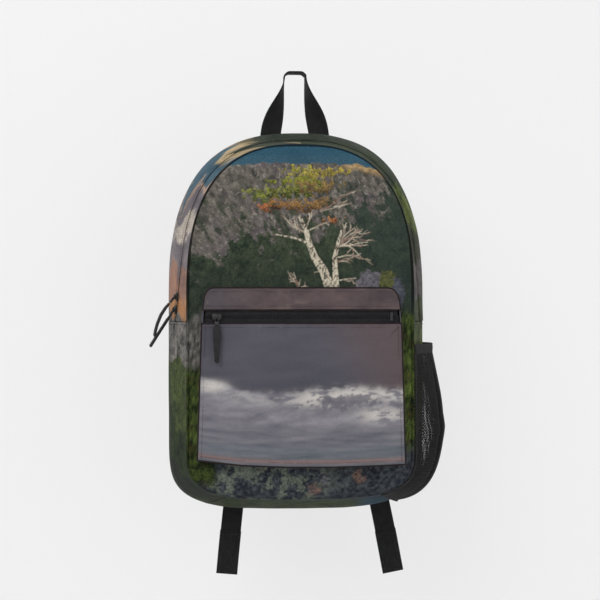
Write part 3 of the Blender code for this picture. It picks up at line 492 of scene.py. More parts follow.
def slope_paint(x, z):
    """Sky, bare crest and wooded slope."""
    drift = patches(x, z * 1.5, 60, 3)
    sky = tone((0.014, 0.052, 0.088), (0.036, 0.110, 0.158), drift)
    sky = lay(sky, (0.060, 0.105, 0.135), smooth_step(z, 424, 408) * 0.3)
    lean, across = x * 0.45 - z * 0.9, x * 0.9 + z * 0.45
    grit = patches(lean * 0.55, across, 3.2, 11, 4)
    stone = tone((0.034, 0.034, 0.030), (0.225, 0.200, 0.170), grit ** 1.3)
    stone = lay(stone, (0.125, 0.100, 0.112), smooth_step(patches(x, z, 24, 14), 0.40, 0.8) * 0.5)
    chips = smooth_step(patches(lean * 0.6, across, 1.9, 12, 2), 0.80, 0.97)
    stone = lay(stone, (0.33, 0.31, 0.27), chips * 0.55)
    trees = tone((0.009, 0.018, 0.011), (0.062, 0.078, 0.046), leaves(x, z * 0.8, 2.2, 21))
    trees = lay(trees, (0.030, 0.044, 0.040), smooth_step(x * 0.86 + z * 0.5, 170, 245) * 0.55)
    trees = lay(trees, (0.016, 0.024, 0.020), smooth_step(z, 325, 262) * 0.5)
    crest = 407 - 0.09 * np.clip(x - 62, 0, None) ** 1.35 - 0.045 * np.clip(-x - 40, 0, None) ** 1.2
    crest = crest + (patches(x, x * 0 + 3, 9, 5, 3) - 0.5) * 5
    edge = 338 + 0.34 * x + (patches(x, z, 34, 8, 4) - 0.5) * 60
    scatter = (patches(lean * 0.4, across, 8, 9, 4) - 0.5) * 70 + (patches(x, z, 2.6, 10, 2) - 0.5) * 22
    wooded = 1 - smooth_step(z + scatter, edge - 10, edge + 14)
    wooded = np.maximum(wooded, smooth_step(patches(lean * 0.35, across, 7, 7, 3), 0.66, 0.80)
                        * (1 - smooth_step(z, crest - 34, crest - 12)) * 0.8)
    land = lay(stone, trees, wooded)
    lit = smooth_step(z, crest - 10, crest - 2) * smooth_step(x, 34, 62)
    land = lay(land, tone((0.20, 0.12, 0.05), (0.58, 0.40, 0.19), patches(x, z, 5, 15)), lit * 0.85)
    return lay(sky, land, 1 - smooth_step(z, crest - 0.8, crest + 0.8))


CREAM, TWIG = (0.56, 0.50, 0.39), (0.34, 0.28, 0.22)
TRUNKS = (
    (((36, 250), (31, 268), (25, 284), (15, 299), (9, 314), (5, 330), (-2, 345)), 12.5, 3.4),
    (((40, 250), (39, 276), (38, 298), (42, 316), (46, 330)), 8.0, 2.0),
    (((9, 314), (-4, 320), (-18, 323), (-30, 325)), 2.6, 0.8),
)
CLUMPS = (
    # centre, size, dark tone, light tone
    ((-2, 398), (13, 5), (0.050, 0.060, 0.010), (0.40, 0.36, 0.060)),
    ((14, 394), (20, 6), (0.070, 0.060, 0.014), (0.46, 0.38, 0.080)),
    ((-4, 387), (24, 5), (0.035, 0.050, 0.008), (0.32, 0.32, 0.050)),
    ((38, 397), (16, 4), (0.060, 0.050, 0.014), (0.46, 0.36, 0.070)),
    ((-34, 371), (27, 7), (0.022, 0.036, 0.008), (0.30, 0.32, 0.060)),
    ((-12, 376), (30, 7), (0.020, 0.030, 0.008), (0.28, 0.28, 0.060)),
    ((16, 381), (22, 7), (0.070, 0.045, 0.018), (0.30, 0.20, 0.070)),
    ((-20, 359), (24, 6), (0.034, 0.016, 0.012), (0.34, 0.18, 0.060)),
    ((8, 358), (20, 6), (0.040, 0.020, 0.010), (0.36, 0.21, 0.080)),
    ((-46, 355), (7, 4), (0.100, 0.030, 0.012), (0.46, 0.16, 0.060)),
    ((36, 341), (10, 5), (0.110, 0.035, 0.015), (0.50, 0.22, 0.090)),
    ((26, 366), (12, 5), (0.070, 0.040, 0.020), (0.26, 0.17, 0.080)),
)


def twigs(seed, root, aim, reach, spread, count, forks=2):
    """Short bare branches that fork again, by a seeded rule."""
    random = np.random.default_rng(seed)
    found, roots = [], [(root, aim, reach)] * count
    while roots:
        (x, z), aim_now, size = roots.pop()
        turn = math.radians(aim_now + random.uniform(-spread, spread))
        size = size * random.uniform(0.5, 1.0)
        points = [(x + random.uniform(-1, 1), z + random.uniform(-4, 4) * (size > 12))]
        for _ in range(4):
            turn += random.uniform(-0.35, 0.35)
            last_x, last_z = points[-1]
            points.append((last_x + size / 4 * math.cos(turn), last_z + size / 4 * math.sin(turn)))
        found.append((points, 0.5 + size * 0.045))
        if size > 9:
            roots += [(points[k], math.degrees(turn), size * 0.5) for k in range(2, 2 + forks)]
    return found


def front_paint(x, z):
    picture = slope_paint(x, z)
    for centre, size, dark, light, seed in (
        ((80, 262), (22, 22), (0.050, 0.046, 0.056), (0.185, 0.172, 0.195), 41),
        ((100, 262), (10, 26), (0.016, 0.026, 0.010), (0.150, 0.150, 0.055), 42),
        ((54, 252), (14, 9), (0.040, 0.036, 0.040), (0.130, 0.115, 0.120), 43),
        ((112, 255), (8, 22), (0.030, 0.034, 0.050), (0.120, 0.125, 0.150), 44),
    ):
        grain = patches(x, z, 2.6, seed, 4)
        picture = lay(picture, tone(dark, light, grain), blob(x, z, centre, size, seed, 0.35))
    branches = (twigs(5, (45, 318), 35, 34, 38, 6) + twigs(6, (44, 312), -8, 34, 30, 5)
                + twigs(7, (38, 296), 12, 28, 26, 3) + twigs(8, (34, 268), 10, 30, 30, 2)
                + twigs(9, (-4, 268), 100, 17, 40, 4) + twigs(10, (-6, 262), 20, 20, 30, 3)
                + twigs(11, (8, 326), 165, 34, 22, 3) + twigs(12, (6, 330), 55, 26, 30, 3)
                + twigs(13, (22, 356), 25, 38, 12, 2) + twigs(14, (24, 282), 150, 14, 25, 1))
    for number, (points, width) in enumerate(branches):
        shade = (TWIG, CREAM, (0.24, 0.15, 0.12))[number % 3]
        picture = lay(picture, shade, stroke(x, z, points, width, 0.35) * 0.8)
    scales = smooth_step(patches(x * 1.6, z * 0.9, 2.6, 51, 3), 0.18, 0.62)
    bark = tone((0.075, 0.062, 0.045), CREAM, scales)
    for points, start_width, end_width in TRUNKS:
        lit = stroke(x, z, points, start_width, end_width)
        behind = [(px + start_width * 0.16, pz) for px, pz in points]
        shadow = stroke(x, z, behind, start_width, end_width)
        picture = lay(picture, (0.03, 0.03, 0.025), shadow * 0.5)
        picture = lay(picture, bark, lit)
    for seed, (centre, size, dark, light) in enumerate(CLUMPS):
        grain = leaves(x, z * 1.25, 1.9, 60 + 2 * seed)
        grain = np.clip(grain + 0.35 * np.clip((z - centre[1]) / size[1], -1, 1), 0, 1)
        gaps = smooth_step(patches(x, z, 2.4, 110 + seed, 2), 0.20, 0.42)
        cover = blob(x, z, centre, size, 90 + seed, 1.0) * gaps
        picture = lay(picture, tone(dark, light, grain), cover)
    bush = tone((0.003, 0.008, 0.003), (0.135, 0.190, 0.042), leaves(x, z * 0.9, 2.0, 131) ** 1.6)
    bush = lay(bush, (0.09, 0.05, 0.02), smooth_step(patches(x, z, 9, 133), 0.66, 0.9) * 0.3)
    stalks = patches(x * 1.3, z * 0.6, 3.0, 134, 3) ** 1.5
    scrub = tone((0.020, 0.022, 0.022), (0.230, 0.215, 0.195), stalks)
    wobble = (patches(x, z, 14, 135, 3) - 0.5) * 24
    left_side = lay(scrub, bush, 1 - smooth_step(z + wobble, 168, 182))
    right_side = lay(picture, bush, 1 - smooth_step(z + wobble, 222, 246))
    side_strip = np.where(x < 0, smooth_step(-x, 104, 110) * (1 - smooth_step(z + wobble, 222, 236)),
                          smooth_step(x, 99, 107))[..., None]
    picture = picture + (np.where((x < 0)[..., None], left_side, right_side) - picture) * side_strip
    stone = tone((0.006, 0.008, 0.016), (0.090, 0.100, 0.108), patches(x, z, 3.0, 31, 4) ** 1.5)
    lichen = tone((0.05, 0.06, 0.05), (0.200, 0.225, 0.175), patches(x, z, 1.8, 32, 2))
    crust = smooth_step(patches(x, z, 9, 33, 4), 0.50, 0.58) * smooth_step(70 - x, 0, 90)
    stone = lay(stone, lichen, crust * 0.85)
    for centre, size, colour, seed in (
        ((16, 32), (11, 7), (0.21, 0.13, 0.10), 36),
        ((66, 46), (7, 6), (0.24, 0.14, 0.10), 37),
        ((27, 43), (7, 6), (0.17, 0.18, 0.18), 38),
        ((-60, 50), (16, 7), (0.15, 0.17, 0.14), 39),
    ):
        speckled = blob(x, z, centre, size, seed, 0.7) * patches(x, z, 1.8, seed + 9, 2) * 0.9
        stone = lay(stone, colour, speckled)
    corner = bush * 0.55
    stone = lay(stone, corner, smooth_step(-x, 92, 104) * smooth_step(z, 28, 46))
    return lay(stone, picture, smooth_step(z + wobble * 0.5, 70, 92))


# %% [markdown]
# Cloth sewn into a seam is drawn up a little: short dents run in from the stitches and fade out within
# a couple of centimetres, over the broad, soft unevenness of a panel that hangs. Both are added here
# as a small move along each point's normal.

# %% Soft dents near the seams
def soften(points, run, gap, seed, swell=0.0009, pucker=0.0006, middle=BODY_MIDDLE):
    """Moves a grid in and out. run is the distance along the seam and gap the distance from it."""
    step_a = np.gradient(points, axis=0)
    step_b = np.gradient(points, axis=1)
    normal = np.cross(step_a, step_b)
    normal /= np.linalg.norm(normal, axis=-1, keepdims=True) + 1e-12
    if (normal * (points - middle)).sum() < 0:
        normal = -normal
    hold = smooth_step(gap, 0.0005, 0.010)
    waves = patches(points[..., 0] + points[..., 1], points[..., 2], 0.055, seed, 2)
    broad = (waves - 0.5) * 2 * swell * hold
    dents = (patches(run, gap * 0.12, 0.0085, seed + 1, 2) - 0.5) * 2 * pucker
    dents = dents * smooth_step(gap, 0.0004, 0.004) * (1 - smooth_step(gap, 0.006, 0.026))
    return points + normal * (broad + dents)[..., None]


# %% [markdown]
# The front panel is one piece of cloth. Its upper part opens as a flap about a soft fold just above
# the pocket. The rows stand close together where the
# picture shows and wide apart behind the pocket. A plain lining hangs just inside it.

# %% Front panel
SEAM_GAP = 0.0008                # the cut edges end inside the piping
PANEL_INSET = FRONT_INSET + SEAM_GAP
HIDDEN_FROM, HIDDEN_TO = 0.060, 0.258       # heights that the pocket covers
FINE_FROM, FINE_TO = 0.260, 0.412           # heights of the picture above it


def panel_rows(fine, coarse):
    """The outline's q for each row: close together where the cloth shows."""
    lowest = float(outline(np.array([0.03]), PANEL_INSET)[1][0])
    stops = np.concatenate([np.arange(lowest + 0.0005, HIDDEN_FROM, fine),
                            np.arange(HIDDEN_FROM, HIDDEN_TO, coarse),
                            np.arange(FINE_FROM, FINE_TO, fine)])
    straight = q_at_height(stops, PANEL_INSET)
    return np.concatenate([np.linspace(0.03, straight[0], 8)[:-1], straight,
                           np.linspace(straight[-1], 2.995, 16)[1:]])


def panel_columns(fine, coarse):
    """Shares of the half width: close together around the tree."""
    return np.concatenate([np.arange(-1, -0.36, coarse), np.arange(-0.36, 0.66, fine),
                           np.arange(0.66, 1.0, coarse), [1.0]])


def front_grid(qs, shares, back=0.0):
    half, height = outline(qs, PANEL_INSET)
    x = half[:, None] * shares[None, :]
    z = np.broadcast_to(height[:, None], x.shape)
    return np.stack([x, front_y(x, z) + back, z], -1)


def front_margin(points):
    """How far each point is from the panel's seam, and the run along it."""
    x, z = points[..., 0], points[..., 2]
    half, height = outline(np.linspace(0, 3, 240), PANEL_INSET)
    edge = np.stack([np.concatenate([half, -half]), np.concatenate([height, height])], -1)
    gap = np.full(x.shape, 1.0)
    for ex, ez in edge:
        gap = np.minimum(gap, np.hypot(x - ex, z - ez))
    return np.arctan2(z - 0.24, x) * 0.17, gap


front = front_grid(panel_rows(0.00088, 0.0045), panel_columns(0.0066, 0.0115))
run, gap = front_margin(front)
front = soften(front, run, gap, 101, swell=0.0010, pucker=0.0007)
front_skin = panel("front_panel_cloth", front, [FRONT_CLOTH],
                   front_paint(front[..., 0] * 1000, front[..., 2] * 1000), wall=0)
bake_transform(front_skin)
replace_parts(front_skin, "front_flap_panel", "front_panel_lower")
lining = front_grid(panel_rows(0.006, 0.010), np.linspace(-1, 1, 41), back=0.0021)
front_lining = panel("front_panel_lining", lining, [LINING_CLOTH], wall=0.0004)
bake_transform(front_lining)
print("front panel", front.shape[:2], "points")

# %% [markdown]
# The seams are finished with piping: a cord wrapped in a bias strip. It is a round tube swept along
# the seam with a frame that stays steady.

# %% Tubes and piping
def sweep(name, line, outs, section, material, cyclic=False, capped=True):
    """A closed section swept along a line. outs point out of the cloth; section is (sideways, out)."""
    line, outs = np.asarray(line, float), np.asarray(outs, float)
    if cyclic:
        along = np.roll(line, -1, 0) - np.roll(line, 1, 0)
    else:
        along = np.gradient(line, axis=0)
    along /= np.linalg.norm(along, axis=1, keepdims=True)
    side = np.cross(along, outs)
    side /= np.linalg.norm(side, axis=1, keepdims=True)
    out = np.cross(side, along)
    section = np.asarray(section, float)
    if section.ndim == 2:
        section = np.broadcast_to(section, (len(line), *section.shape))
    points = line[:, None] + side[:, None] * section[..., :1] + out[:, None] * section[..., 1:]
    count = section.shape[1]
    rows = len(line)
    faces = []
    for i in range(rows if cyclic else rows - 1):
        for k in range(count):
            a, b = i * count + k, i * count + (k + 1) % count
            c, d = (i + 1) % rows * count + (k + 1) % count, (i + 1) % rows * count + k
            faces.append((a, b, c, d))
    if capped and not cyclic:
        faces.append(tuple(range(count))[::-1])
        faces.append(tuple((rows - 1) * count + k for k in range(count)))
    steps = np.concatenate([[0], np.cumsum(np.linalg.norm(np.diff(line, axis=0), axis=1))])
    girth = np.concatenate([[0], np.cumsum(np.linalg.norm(np.diff(section[0], axis=0), axis=1))])
    weave = np.stack(np.meshgrid(girth, steps), -1)
    made = piece(name, points, faces, [material], weave)
    outward_faces(made)
    return made


def outward_faces(made):
    work = bmesh.new()
    work.from_mesh(made.data)
    bmesh.ops.recalc_face_normals(work, faces=work.faces)
    work.to_mesh(made.data)
    work.free()


def oval(wide, high, count=12, lift=0.0):
    turn = np.arange(count) * 2 * math.pi / count
    return np.stack([wide * np.cos(turn), lift + high * np.sin(turn)], -1)


PIPING_RADIUS = 0.0018


def cover_print(made, paint, amount):
    """Gives a piece the picture's colours at its own points, at some strength."""
    co = np.zeros(len(made.data.vertices) * 3)
    made.data.vertices.foreach_get("co", co)
    local = co.reshape(-1, 3) - TO_HANG_POINT
    rgba = np.ones((len(local), 4), np.float32)
    rgba[:, :3] = paint(local) * amount(local)[:, None]
    colours = made.data.color_attributes.new("print", "FLOAT_COLOR", "POINT")
    colours.data.foreach_set("color", rgba.ravel())
    made.data.materials.clear()
    made.data.materials.append(FRONT_CLOTH)


PIPING_YARN = fibre_material("piping_yarn", (0.016, 0.016, 0.017), 0.6, 0.0009, 0.0002)
RING = np.linspace(-3, 3, 421)[:-1]
for name, y, inset, body in (("piping_front_cord", RIM_Y, FRONT_INSET, None),
                             ("piping_rear_cord", BACK_Y, BACK_INSET, "root")):
    x, z = outline(RING, inset)
    line = np.stack([x, np.full_like(x, y), z], -1)
    cord = sweep(name, line, np.tile((0.0, -1.0, 0.0), (len(line), 1)),
                 oval(PIPING_RADIUS, PIPING_RADIUS), PIPING_YARN, cyclic=True)
    if body:
        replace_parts(cord, "piping_rear")
        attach(cord, body)
    else:
        # The front cord wears the panel's print at three quarters strength; over the arch the print is
        # dimmed to 0.15, a painted shade line along the top seam.
        cover_print(cord, lambda p: front_paint(p[:, 0] * 1000, p[:, 2] * 1000),
                    lambda p: 0.75 - 0.60 * smooth_step(p[:, 2], 0.225, 0.265))
        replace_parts(cord, "piping_front_upper", "piping_front_lower")
        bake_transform(cord)
print("piping round both seams")

# %% [markdown]
# The gusset is the long band between the front and back seams. The main zip splits its upper half in
# a narrow front strip and a wide rear strip; below the zip's ends one side panel covers the full depth,
# and a bottom panel closes the bag. The picture runs on over it, in broad bands of cloud and bush.

# %% The gusset's picture
def gusset_paint(points):
    x, y, z = (points[..., k] * 1000 for k in range(3))
    depth = smooth_step(y, RIM_Y * 1000 + 12, RIM_Y * 1000 + 70)
    u, v = y * 1.3 + x * 0.4, z + (patches(y * 1.1, z, 42, 200, 4) - 0.5) * 80 * depth
    left = x < 0
    cloud = patches(u * 0.6, v, 13, 201, 4)
    bands = (
        # height where the band starts, going down, then its tones; left side
        (450, (0.020, 0.030, 0.024), (0.060, 0.070, 0.045)),
        (430, (0.230, 0.170, 0.090), (0.560, 0.430, 0.260)),
        (411, (0.028, 0.070, 0.105), (0.070, 0.135, 0.175)),
        (387, (0.250, 0.180, 0.150), (0.520, 0.360, 0.260)),
        (378, (0.120, 0.110, 0.125), (0.230, 0.200, 0.215)),
        (353, (0.190, 0.175, 0.175), (0.640, 0.560, 0.470)),
        (325, (0.120, 0.110, 0.122), (0.270, 0.235, 0.245)),
        (286, (0.190, 0.120, 0.105), (0.460, 0.250, 0.170)),
        (250, (0.260, 0.130, 0.070), (0.600, 0.300, 0.130)),
        (229, (0.020, 0.020, 0.020), (0.300, 0.280, 0.260)),
        (178, (0.004, 0.010, 0.003), (0.090, 0.118, 0.032)),
        (96, (0.001, 0.003, 0.001), (0.030, 0.052, 0.014)),
        (46, (0.002, 0.004, 0.003), (0.026, 0.036, 0.020)),
    )
    others = (
        (450, (0.010, 0.020, 0.013), (0.050, 0.062, 0.030)),
        (388, (0.020, 0.032, 0.006), (0.200, 0.250, 0.050)),
        (336, (0.014, 0.022, 0.012), (0.070, 0.070, 0.040)),
        (288, (0.050, 0.045, 0.048), (0.190, 0.165, 0.160)),
        (246, (0.016, 0.024, 0.012), (0.075, 0.090, 0.040)),
        (214, (0.010, 0.020, 0.006), (0.140, 0.170, 0.050)),
        (92, (0.008, 0.012, 0.009), (0.040, 0.050, 0.034)),
        (50, (0.014, 0.020, 0.030), (0.050, 0.066, 0.086)),
    )
    fuzz = (patches(u, v, 16, 202, 3) - 0.5) * 22
    coarse, fine = patches(u, v, 9, 203, 3), patches(u, v, 3.6, 204, 3)
    found = []
    for side, table in enumerate((bands, others)):
        leafy = smooth_step(z, 236 if side == 0 else 425, 226 if side == 0 else 405)
        plain = cloud if side == 0 else coarse
        grain = plain * (1 - leafy) + leaves(u * 0.8, v * 0.7, 2.6, 207) * leafy
        colour = tone(table[0][1], table[0][2], grain)
        for start, dark, light in table[1:]:
            below = 1 - smooth_step(v + fuzz, start - 3, start + 3)
            colour = lay(colour, tone(dark, light, grain), below)
        found.append(colour)
    face = np.where(left[..., None], found[0], found[1])
    crown = tone((0.003, 0.008, 0.005), (0.028, 0.040, 0.024), patches(x, y, 5, 205, 4))
    lit_crown = tone((0.06, 0.055, 0.02), (0.22, 0.18, 0.08), fine)
    crown = lay(crown, lit_crown, smooth_step(-x, 48, 62) * 0.8)
    face = lay(face, crown, smooth_step(z, 432, 440))
    ground = tone((0.004, 0.009, 0.004), (0.044, 0.062, 0.020), fine)
    ground = lay(ground, (0.016, 0.045, 0.075), smooth_step(x, 62, 84) * 0.85)
    return lay(face, ground, 1 - smooth_step(z, 12, 24))


# %% Gusset panels
RIM_EDGE, BACK_EDGE = RIM_Y + SEAM_GAP, BACK_Y - SEAM_GAP
BOTTOM_Q = 0.62


def even_q(start, end, spacing):
    """Stops from start to end that stand evenly apart on the outline."""
    probe = np.linspace(start, end, 400)
    x, z = outline(probe, ZIP_INSET)
    run = np.concatenate([[0], np.cumsum(np.hypot(np.diff(x), np.diff(z)))])
    return np.interp(np.linspace(0, run[-1], max(3, int(run[-1] / spacing))), run, probe), run[-1]


def over_top(start, end, spacing):
    """From the left side over the top to the right, where q jumps from -3 to 3."""
    left, run = even_q(-start, -3.0, spacing)
    right, _ = even_q(3.0, end, spacing)
    return np.concatenate([left, right[1:]]), run


def gusset_strip(name, qs, from_y, to_y, steps, seed):
    """A panel between two depths, given for each q, with dents along both of its seams."""
    share = np.linspace(0, 1, steps)[None, :]
    low = np.broadcast_to(from_y, qs.shape)[:, None]
    high = np.broadcast_to(to_y, qs.shape)[:, None]
    y = low + (high - low) * share
    points = shell_point(np.broadcast_to(qs[:, None], y.shape), y)
    gap = np.minimum(y - low, high - y)
    steps_along = np.linalg.norm(np.diff(points[:, 0], axis=0), axis=1)
    run = np.broadcast_to(np.concatenate([[0], np.cumsum(steps_along)])[:, None], y.shape)
    points = soften(points, run, gap, seed, swell=0.0007, pucker=0.0005)
    made = panel(name, points, [SIDE_CLOTH, LINING_CLOTH], gusset_paint(points))
    return made


qs, _ = over_top(Q_ZIP_LOW, Q_ZIP_LOW, 0.0016)
middle_y = zip_point(qs)[:, 1]
rear_strip = gusset_strip("gusset_rear_strip", qs, middle_y + ZIP_SLOT, BACK_EDGE, 48, 111)
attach(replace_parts(rear_strip, "zip_gusset_rear"), "root")
front_strip = gusset_strip("gusset_front_strip", qs, RIM_EDGE, middle_y - ZIP_SLOT, 18, 113)
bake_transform(front_strip)
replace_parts(front_strip, "zip_gusset_front_arch", "zip_gusset_front_left", "zip_gusset_front_right")
for side, word in ((-1, "left"), (1, "right")):
    stops, _ = even_q(BOTTOM_Q, Q_ZIP_LOW - 0.003, 0.0018)
    side_panel = gusset_strip(f"gusset_side_{word}", side * stops, RIM_EDGE, BACK_EDGE, 62, 117 + side)
    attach(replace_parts(side_panel, f"side_panel_{word}"), "root")
stops, _ = even_q(-BOTTOM_Q + 0.0015, BOTTOM_Q - 0.0015, 0.0030)
bottom = gusset_strip("gusset_bottom", stops, RIM_EDGE, BACK_EDGE, 36, 119)
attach(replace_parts(bottom, "bottom_panel"), "root")
print("gusset in five panels")

# %% [markdown]
# Teeth and stitches both do one thing: the same small item stands at even steps along a line. One
# node tree does that job. It turns the line into a curve, cuts it into even steps, and stands an item
# on each with its length along the line and its height out of the cloth. The line carries the outward
# direction at its points in an attribute.

# %% A node tree that sets items along a line
def item_tree(name, round_item):
    tree = bpy.data.node_groups.new(name, "GeometryNodeTree")
    tree.interface.new_socket("Geometry", in_out="INPUT", socket_type="NodeSocketGeometry")
    for label in ("Pitch", "Length", "Width", "Height"):
        tree.interface.new_socket(label, in_out="INPUT", socket_type="NodeSocketFloat")
    tree.interface.new_socket("Material", in_out="INPUT", socket_type="NodeSocketMaterial")
    tree.interface.new_socket("Geometry", in_out="OUTPUT", socket_type="NodeSocketGeometry")

    def node(kind, **settings):
        added = tree.nodes.new(kind)
        for key, value in settings.items():
            setattr(added, key, value)
        return added

    link = tree.links.new
    given, result = node("NodeGroupInput"), node("NodeGroupOutput")
    curve = node("GeometryNodeMeshToCurve")
    steps = node("GeometryNodeResampleCurve", mode="LENGTH")
    link(given.outputs["Geometry"], curve.inputs["Mesh"])
    link(curve.outputs[0], steps.inputs["Curve"])
    link(given.outputs["Pitch"], steps.inputs["Length"])
    out = node("GeometryNodeInputNamedAttribute", data_type="FLOAT_VECTOR")
    out.inputs["Name"].default_value = "out"
    first = node("FunctionNodeAlignRotationToVector", axis="X")
    second = node("FunctionNodeAlignRotationToVector", axis="Z", pivot_axis="X")
    link(node("GeometryNodeInputTangent").outputs[0], first.inputs["Vector"])
    link(first.outputs[0], second.inputs["Rotation"])
    link(out.outputs["Attribute"], second.inputs["Vector"])
    if round_item:
        item = node("GeometryNodeMeshUVSphere")
        item.inputs["Segments"].default_value, item.inputs["Rings"].default_value = 6, 4
        item.inputs["Radius"].default_value = 0.5
    else:
        item = node("GeometryNodeMeshCube")
    size = node("ShaderNodeCombineXYZ")
    for axis, label in zip("XYZ", ("Length", "Width", "Height")):
        link(given.outputs[label], size.inputs[axis])
    shaped = node("GeometryNodeTransform")
    link(item.outputs["Mesh"], shaped.inputs["Geometry"])
    link(size.outputs[0], shaped.inputs["Scale"])
    stand = node("GeometryNodeInstanceOnPoints")
    link(steps.outputs[0], stand.inputs["Points"])
    link(shaped.outputs[0], stand.inputs["Instance"])
    link(second.outputs[0], stand.inputs["Rotation"])
    real = node("GeometryNodeRealizeInstances")
    paint = node("GeometryNodeSetMaterial")
    link(stand.outputs[0], real.inputs[0])
    link(real.outputs[0], paint.inputs["Geometry"])
    link(given.outputs["Material"], paint.inputs["Material"])
    link(paint.outputs[0], result.inputs[0])
    return tree


ROUND_ITEMS = item_tree("round_items_along_a_line", True)


def along_lines(name, lines, pitch, size, material, tree=ROUND_ITEMS):
    """Items of a size (along, sideways, out) at even steps on each line of (points, outs)."""
    points, outs, edges = [], [], []
    for line, out in lines:
        first = len(points)
        points += [tuple(np.asarray(p) + TO_HANG_POINT) for p in line]
        outs += [tuple(o) for o in np.broadcast_to(out, np.shape(line))]
        edges += [(first + i, first + i + 1) for i in range(len(line) - 1)]
    mesh = bpy.data.meshes.new(name)
    mesh.from_pydata(points, edges, [])
    out_values = mesh.attributes.new("out", "FLOAT_VECTOR", "POINT")
    out_values.data.foreach_set("vector", np.array(outs).ravel())
    made = bpy.data.objects.new(name, mesh)
    scene.collection.objects.link(made)
    step = made.modifiers.new("items", "NODES")
    step.node_group = tree
    sockets = {s.name: s.identifier for s in tree.interface.items_tree if s.in_out == "INPUT"}
    for label, value in zip(("Pitch", "Length", "Width", "Height", "Material"), (pitch, *size, material)):
        step[sockets[label]] = value
    settle(made)
    made.data.shade_smooth()
    return made


# %% [markdown]
# The main zip is a coil zip: two rows of small nylon turns that lock into each other, on woven tapes.
# It lies in a narrow slot of the gusset. The rear row rides on the bag; the front row stands
# half a step along from it, so they mesh.

# %% Teeth of the main zip
TOOTH_PITCH = 0.0015
TOOTH = (0.0010, 0.0024, 0.0011)
TOOTH_ASIDE, TOOTH_DROP = 0.0008, 0.0014
TAPE_EDGE, TAPE_WIDTH, TAPE_WEAVE = 0.0019, 0.0081, 0.0007
TAPE_DROP = CLOTH + 0.0010      # the tapes are sewn under the cover cloth
TOOTH_YARN = fibre_material("tooth_nylon", (0.020, 0.020, 0.022), 0.42, 0.004, 0.0001, source=None)
TAPE_YARN = fibre_material("tape_yarn", (0.016, 0.016, 0.018), 0.7, 0.0009, 0.0002, source=None)
qs, run = over_top(Q_ZIP_LOW, Q_ZIP_LOW, 0.003)
middle = zip_point(qs)
out_of_cloth = outward(qs, middle[:, 1])
direction = np.gradient(middle, axis=0)
direction /= np.linalg.norm(direction, axis=1, keepdims=True)
sideways = np.cross(out_of_cloth, direction)
sideways *= np.where(sideways[:, 1] < 0, -1, 1)[:, None]
for word, side, shift in (("rear", 1, 0.0), ("front", -1, 0.5)):
    line = (middle + sideways * side * TOOTH_ASIDE - out_of_cloth * TOOTH_DROP
            + direction * TOOTH_PITCH * shift)
    teeth = along_lines(f"main_zip_teeth_{word}", [(line, out_of_cloth)], TOOTH_PITCH, TOOTH,
                        TOOTH_YARN)
    across = np.linspace(TAPE_EDGE, TAPE_EDGE + TAPE_WIDTH, 6)[None, :, None] * side
    woven = middle[:, None] + sideways[:, None] * across - (out_of_cloth * TAPE_DROP)[:, None]
    tape = panel(f"main_zip_tape_woven_{word}", woven, [TAPE_YARN], wall=TAPE_WEAVE)
    for strip in (teeth, tape):
        if side > 0:
            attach(strip, "root")
        else:
            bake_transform(strip)
    if side > 0:
        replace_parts(tape, "main_zip_tape_rear")
    else:
        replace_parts(tape, "main_zip_tape_front_arch", "main_zip_tape_front_left",
                    "main_zip_tape_front_right")
for name in ("pocket_zip_tape_upper", "pocket_zip_tape_lower"):
    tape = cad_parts[name]
    tape.data.materials.clear()
    tape.data.materials.append(TAPE_YARN)
print("main zip teeth:", len(teeth.data.polygons), "faces on one side")

# %% [markdown]
# A row of topstitching holds each panel's edge down. A stitch is a short dash of dark thread that
# sinks at both ends, so a flattened ball is enough. These rows follow the zip's slot and the seams, a
# few millimetres in.

# %% Topstitching on the gusset
THREAD = (0.0022, 0.00062, 0.00050)
STITCH_PITCH = 0.0031
ZIP_ROW_INSET, SEAM_ROW_INSET = 0.0035, 0.004
DARK_THREAD = fibre_material("dark_thread", (0.030, 0.026, 0.028), 0.6, 0.0006, 0.0001, source=None)
MAROON_THREAD = fibre_material("maroon_thread", (0.060, 0.026, 0.028), 0.6, 0.0006, 0.0001, source=None)


def gusset_line(qs, y):
    y = np.broadcast_to(y, qs.shape)
    out = outward(qs, y)
    return shell_point(qs, y) + out * 0.0002, out


rows = [gusset_line(qs, middle[:, 1] + ZIP_SLOT + ZIP_ROW_INSET)]
for side in (-1, 1):
    stops, _ = even_q(side * BOTTOM_Q, side * Q_ZIP_LOW, 0.004)
    rows.append(gusset_line(stops, BACK_EDGE - SEAM_ROW_INSET))
rows.append(gusset_line(qs, np.full(qs.shape, BACK_EDGE - SEAM_ROW_INSET)))
seam_y = np.linspace(RIM_EDGE + 0.002, BACK_EDGE - 0.002, 30)
for side in (-1, 1):
    rows.append(gusset_line(np.full(30, side * (Q_ZIP_LOW - 0.022)), seam_y))
stitches = along_lines("gusset_stitches", rows, STITCH_PITCH, THREAD, DARK_THREAD)
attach(stitches, "root")
front_line = gusset_line(qs, middle[:, 1] - ZIP_SLOT - ZIP_ROW_INSET)
front_row = along_lines("gusset_front_stitches", [front_line], STITCH_PITCH, THREAD, DARK_THREAD)
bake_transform(front_row)
print("stitches:", len(stitches.data.polygons) + len(front_row.data.polygons), "faces")

# %% [markdown]
# A slider is die cast and painted: two plates joined by a post, with a bridge on top that carries the
# pull's tab. Each is built flat, with X across the zip and Y along it, from bevelled plates, and then
# stood on the cloth. The long grip that hangs from the tab is moulded, with a waist and a few ribs.

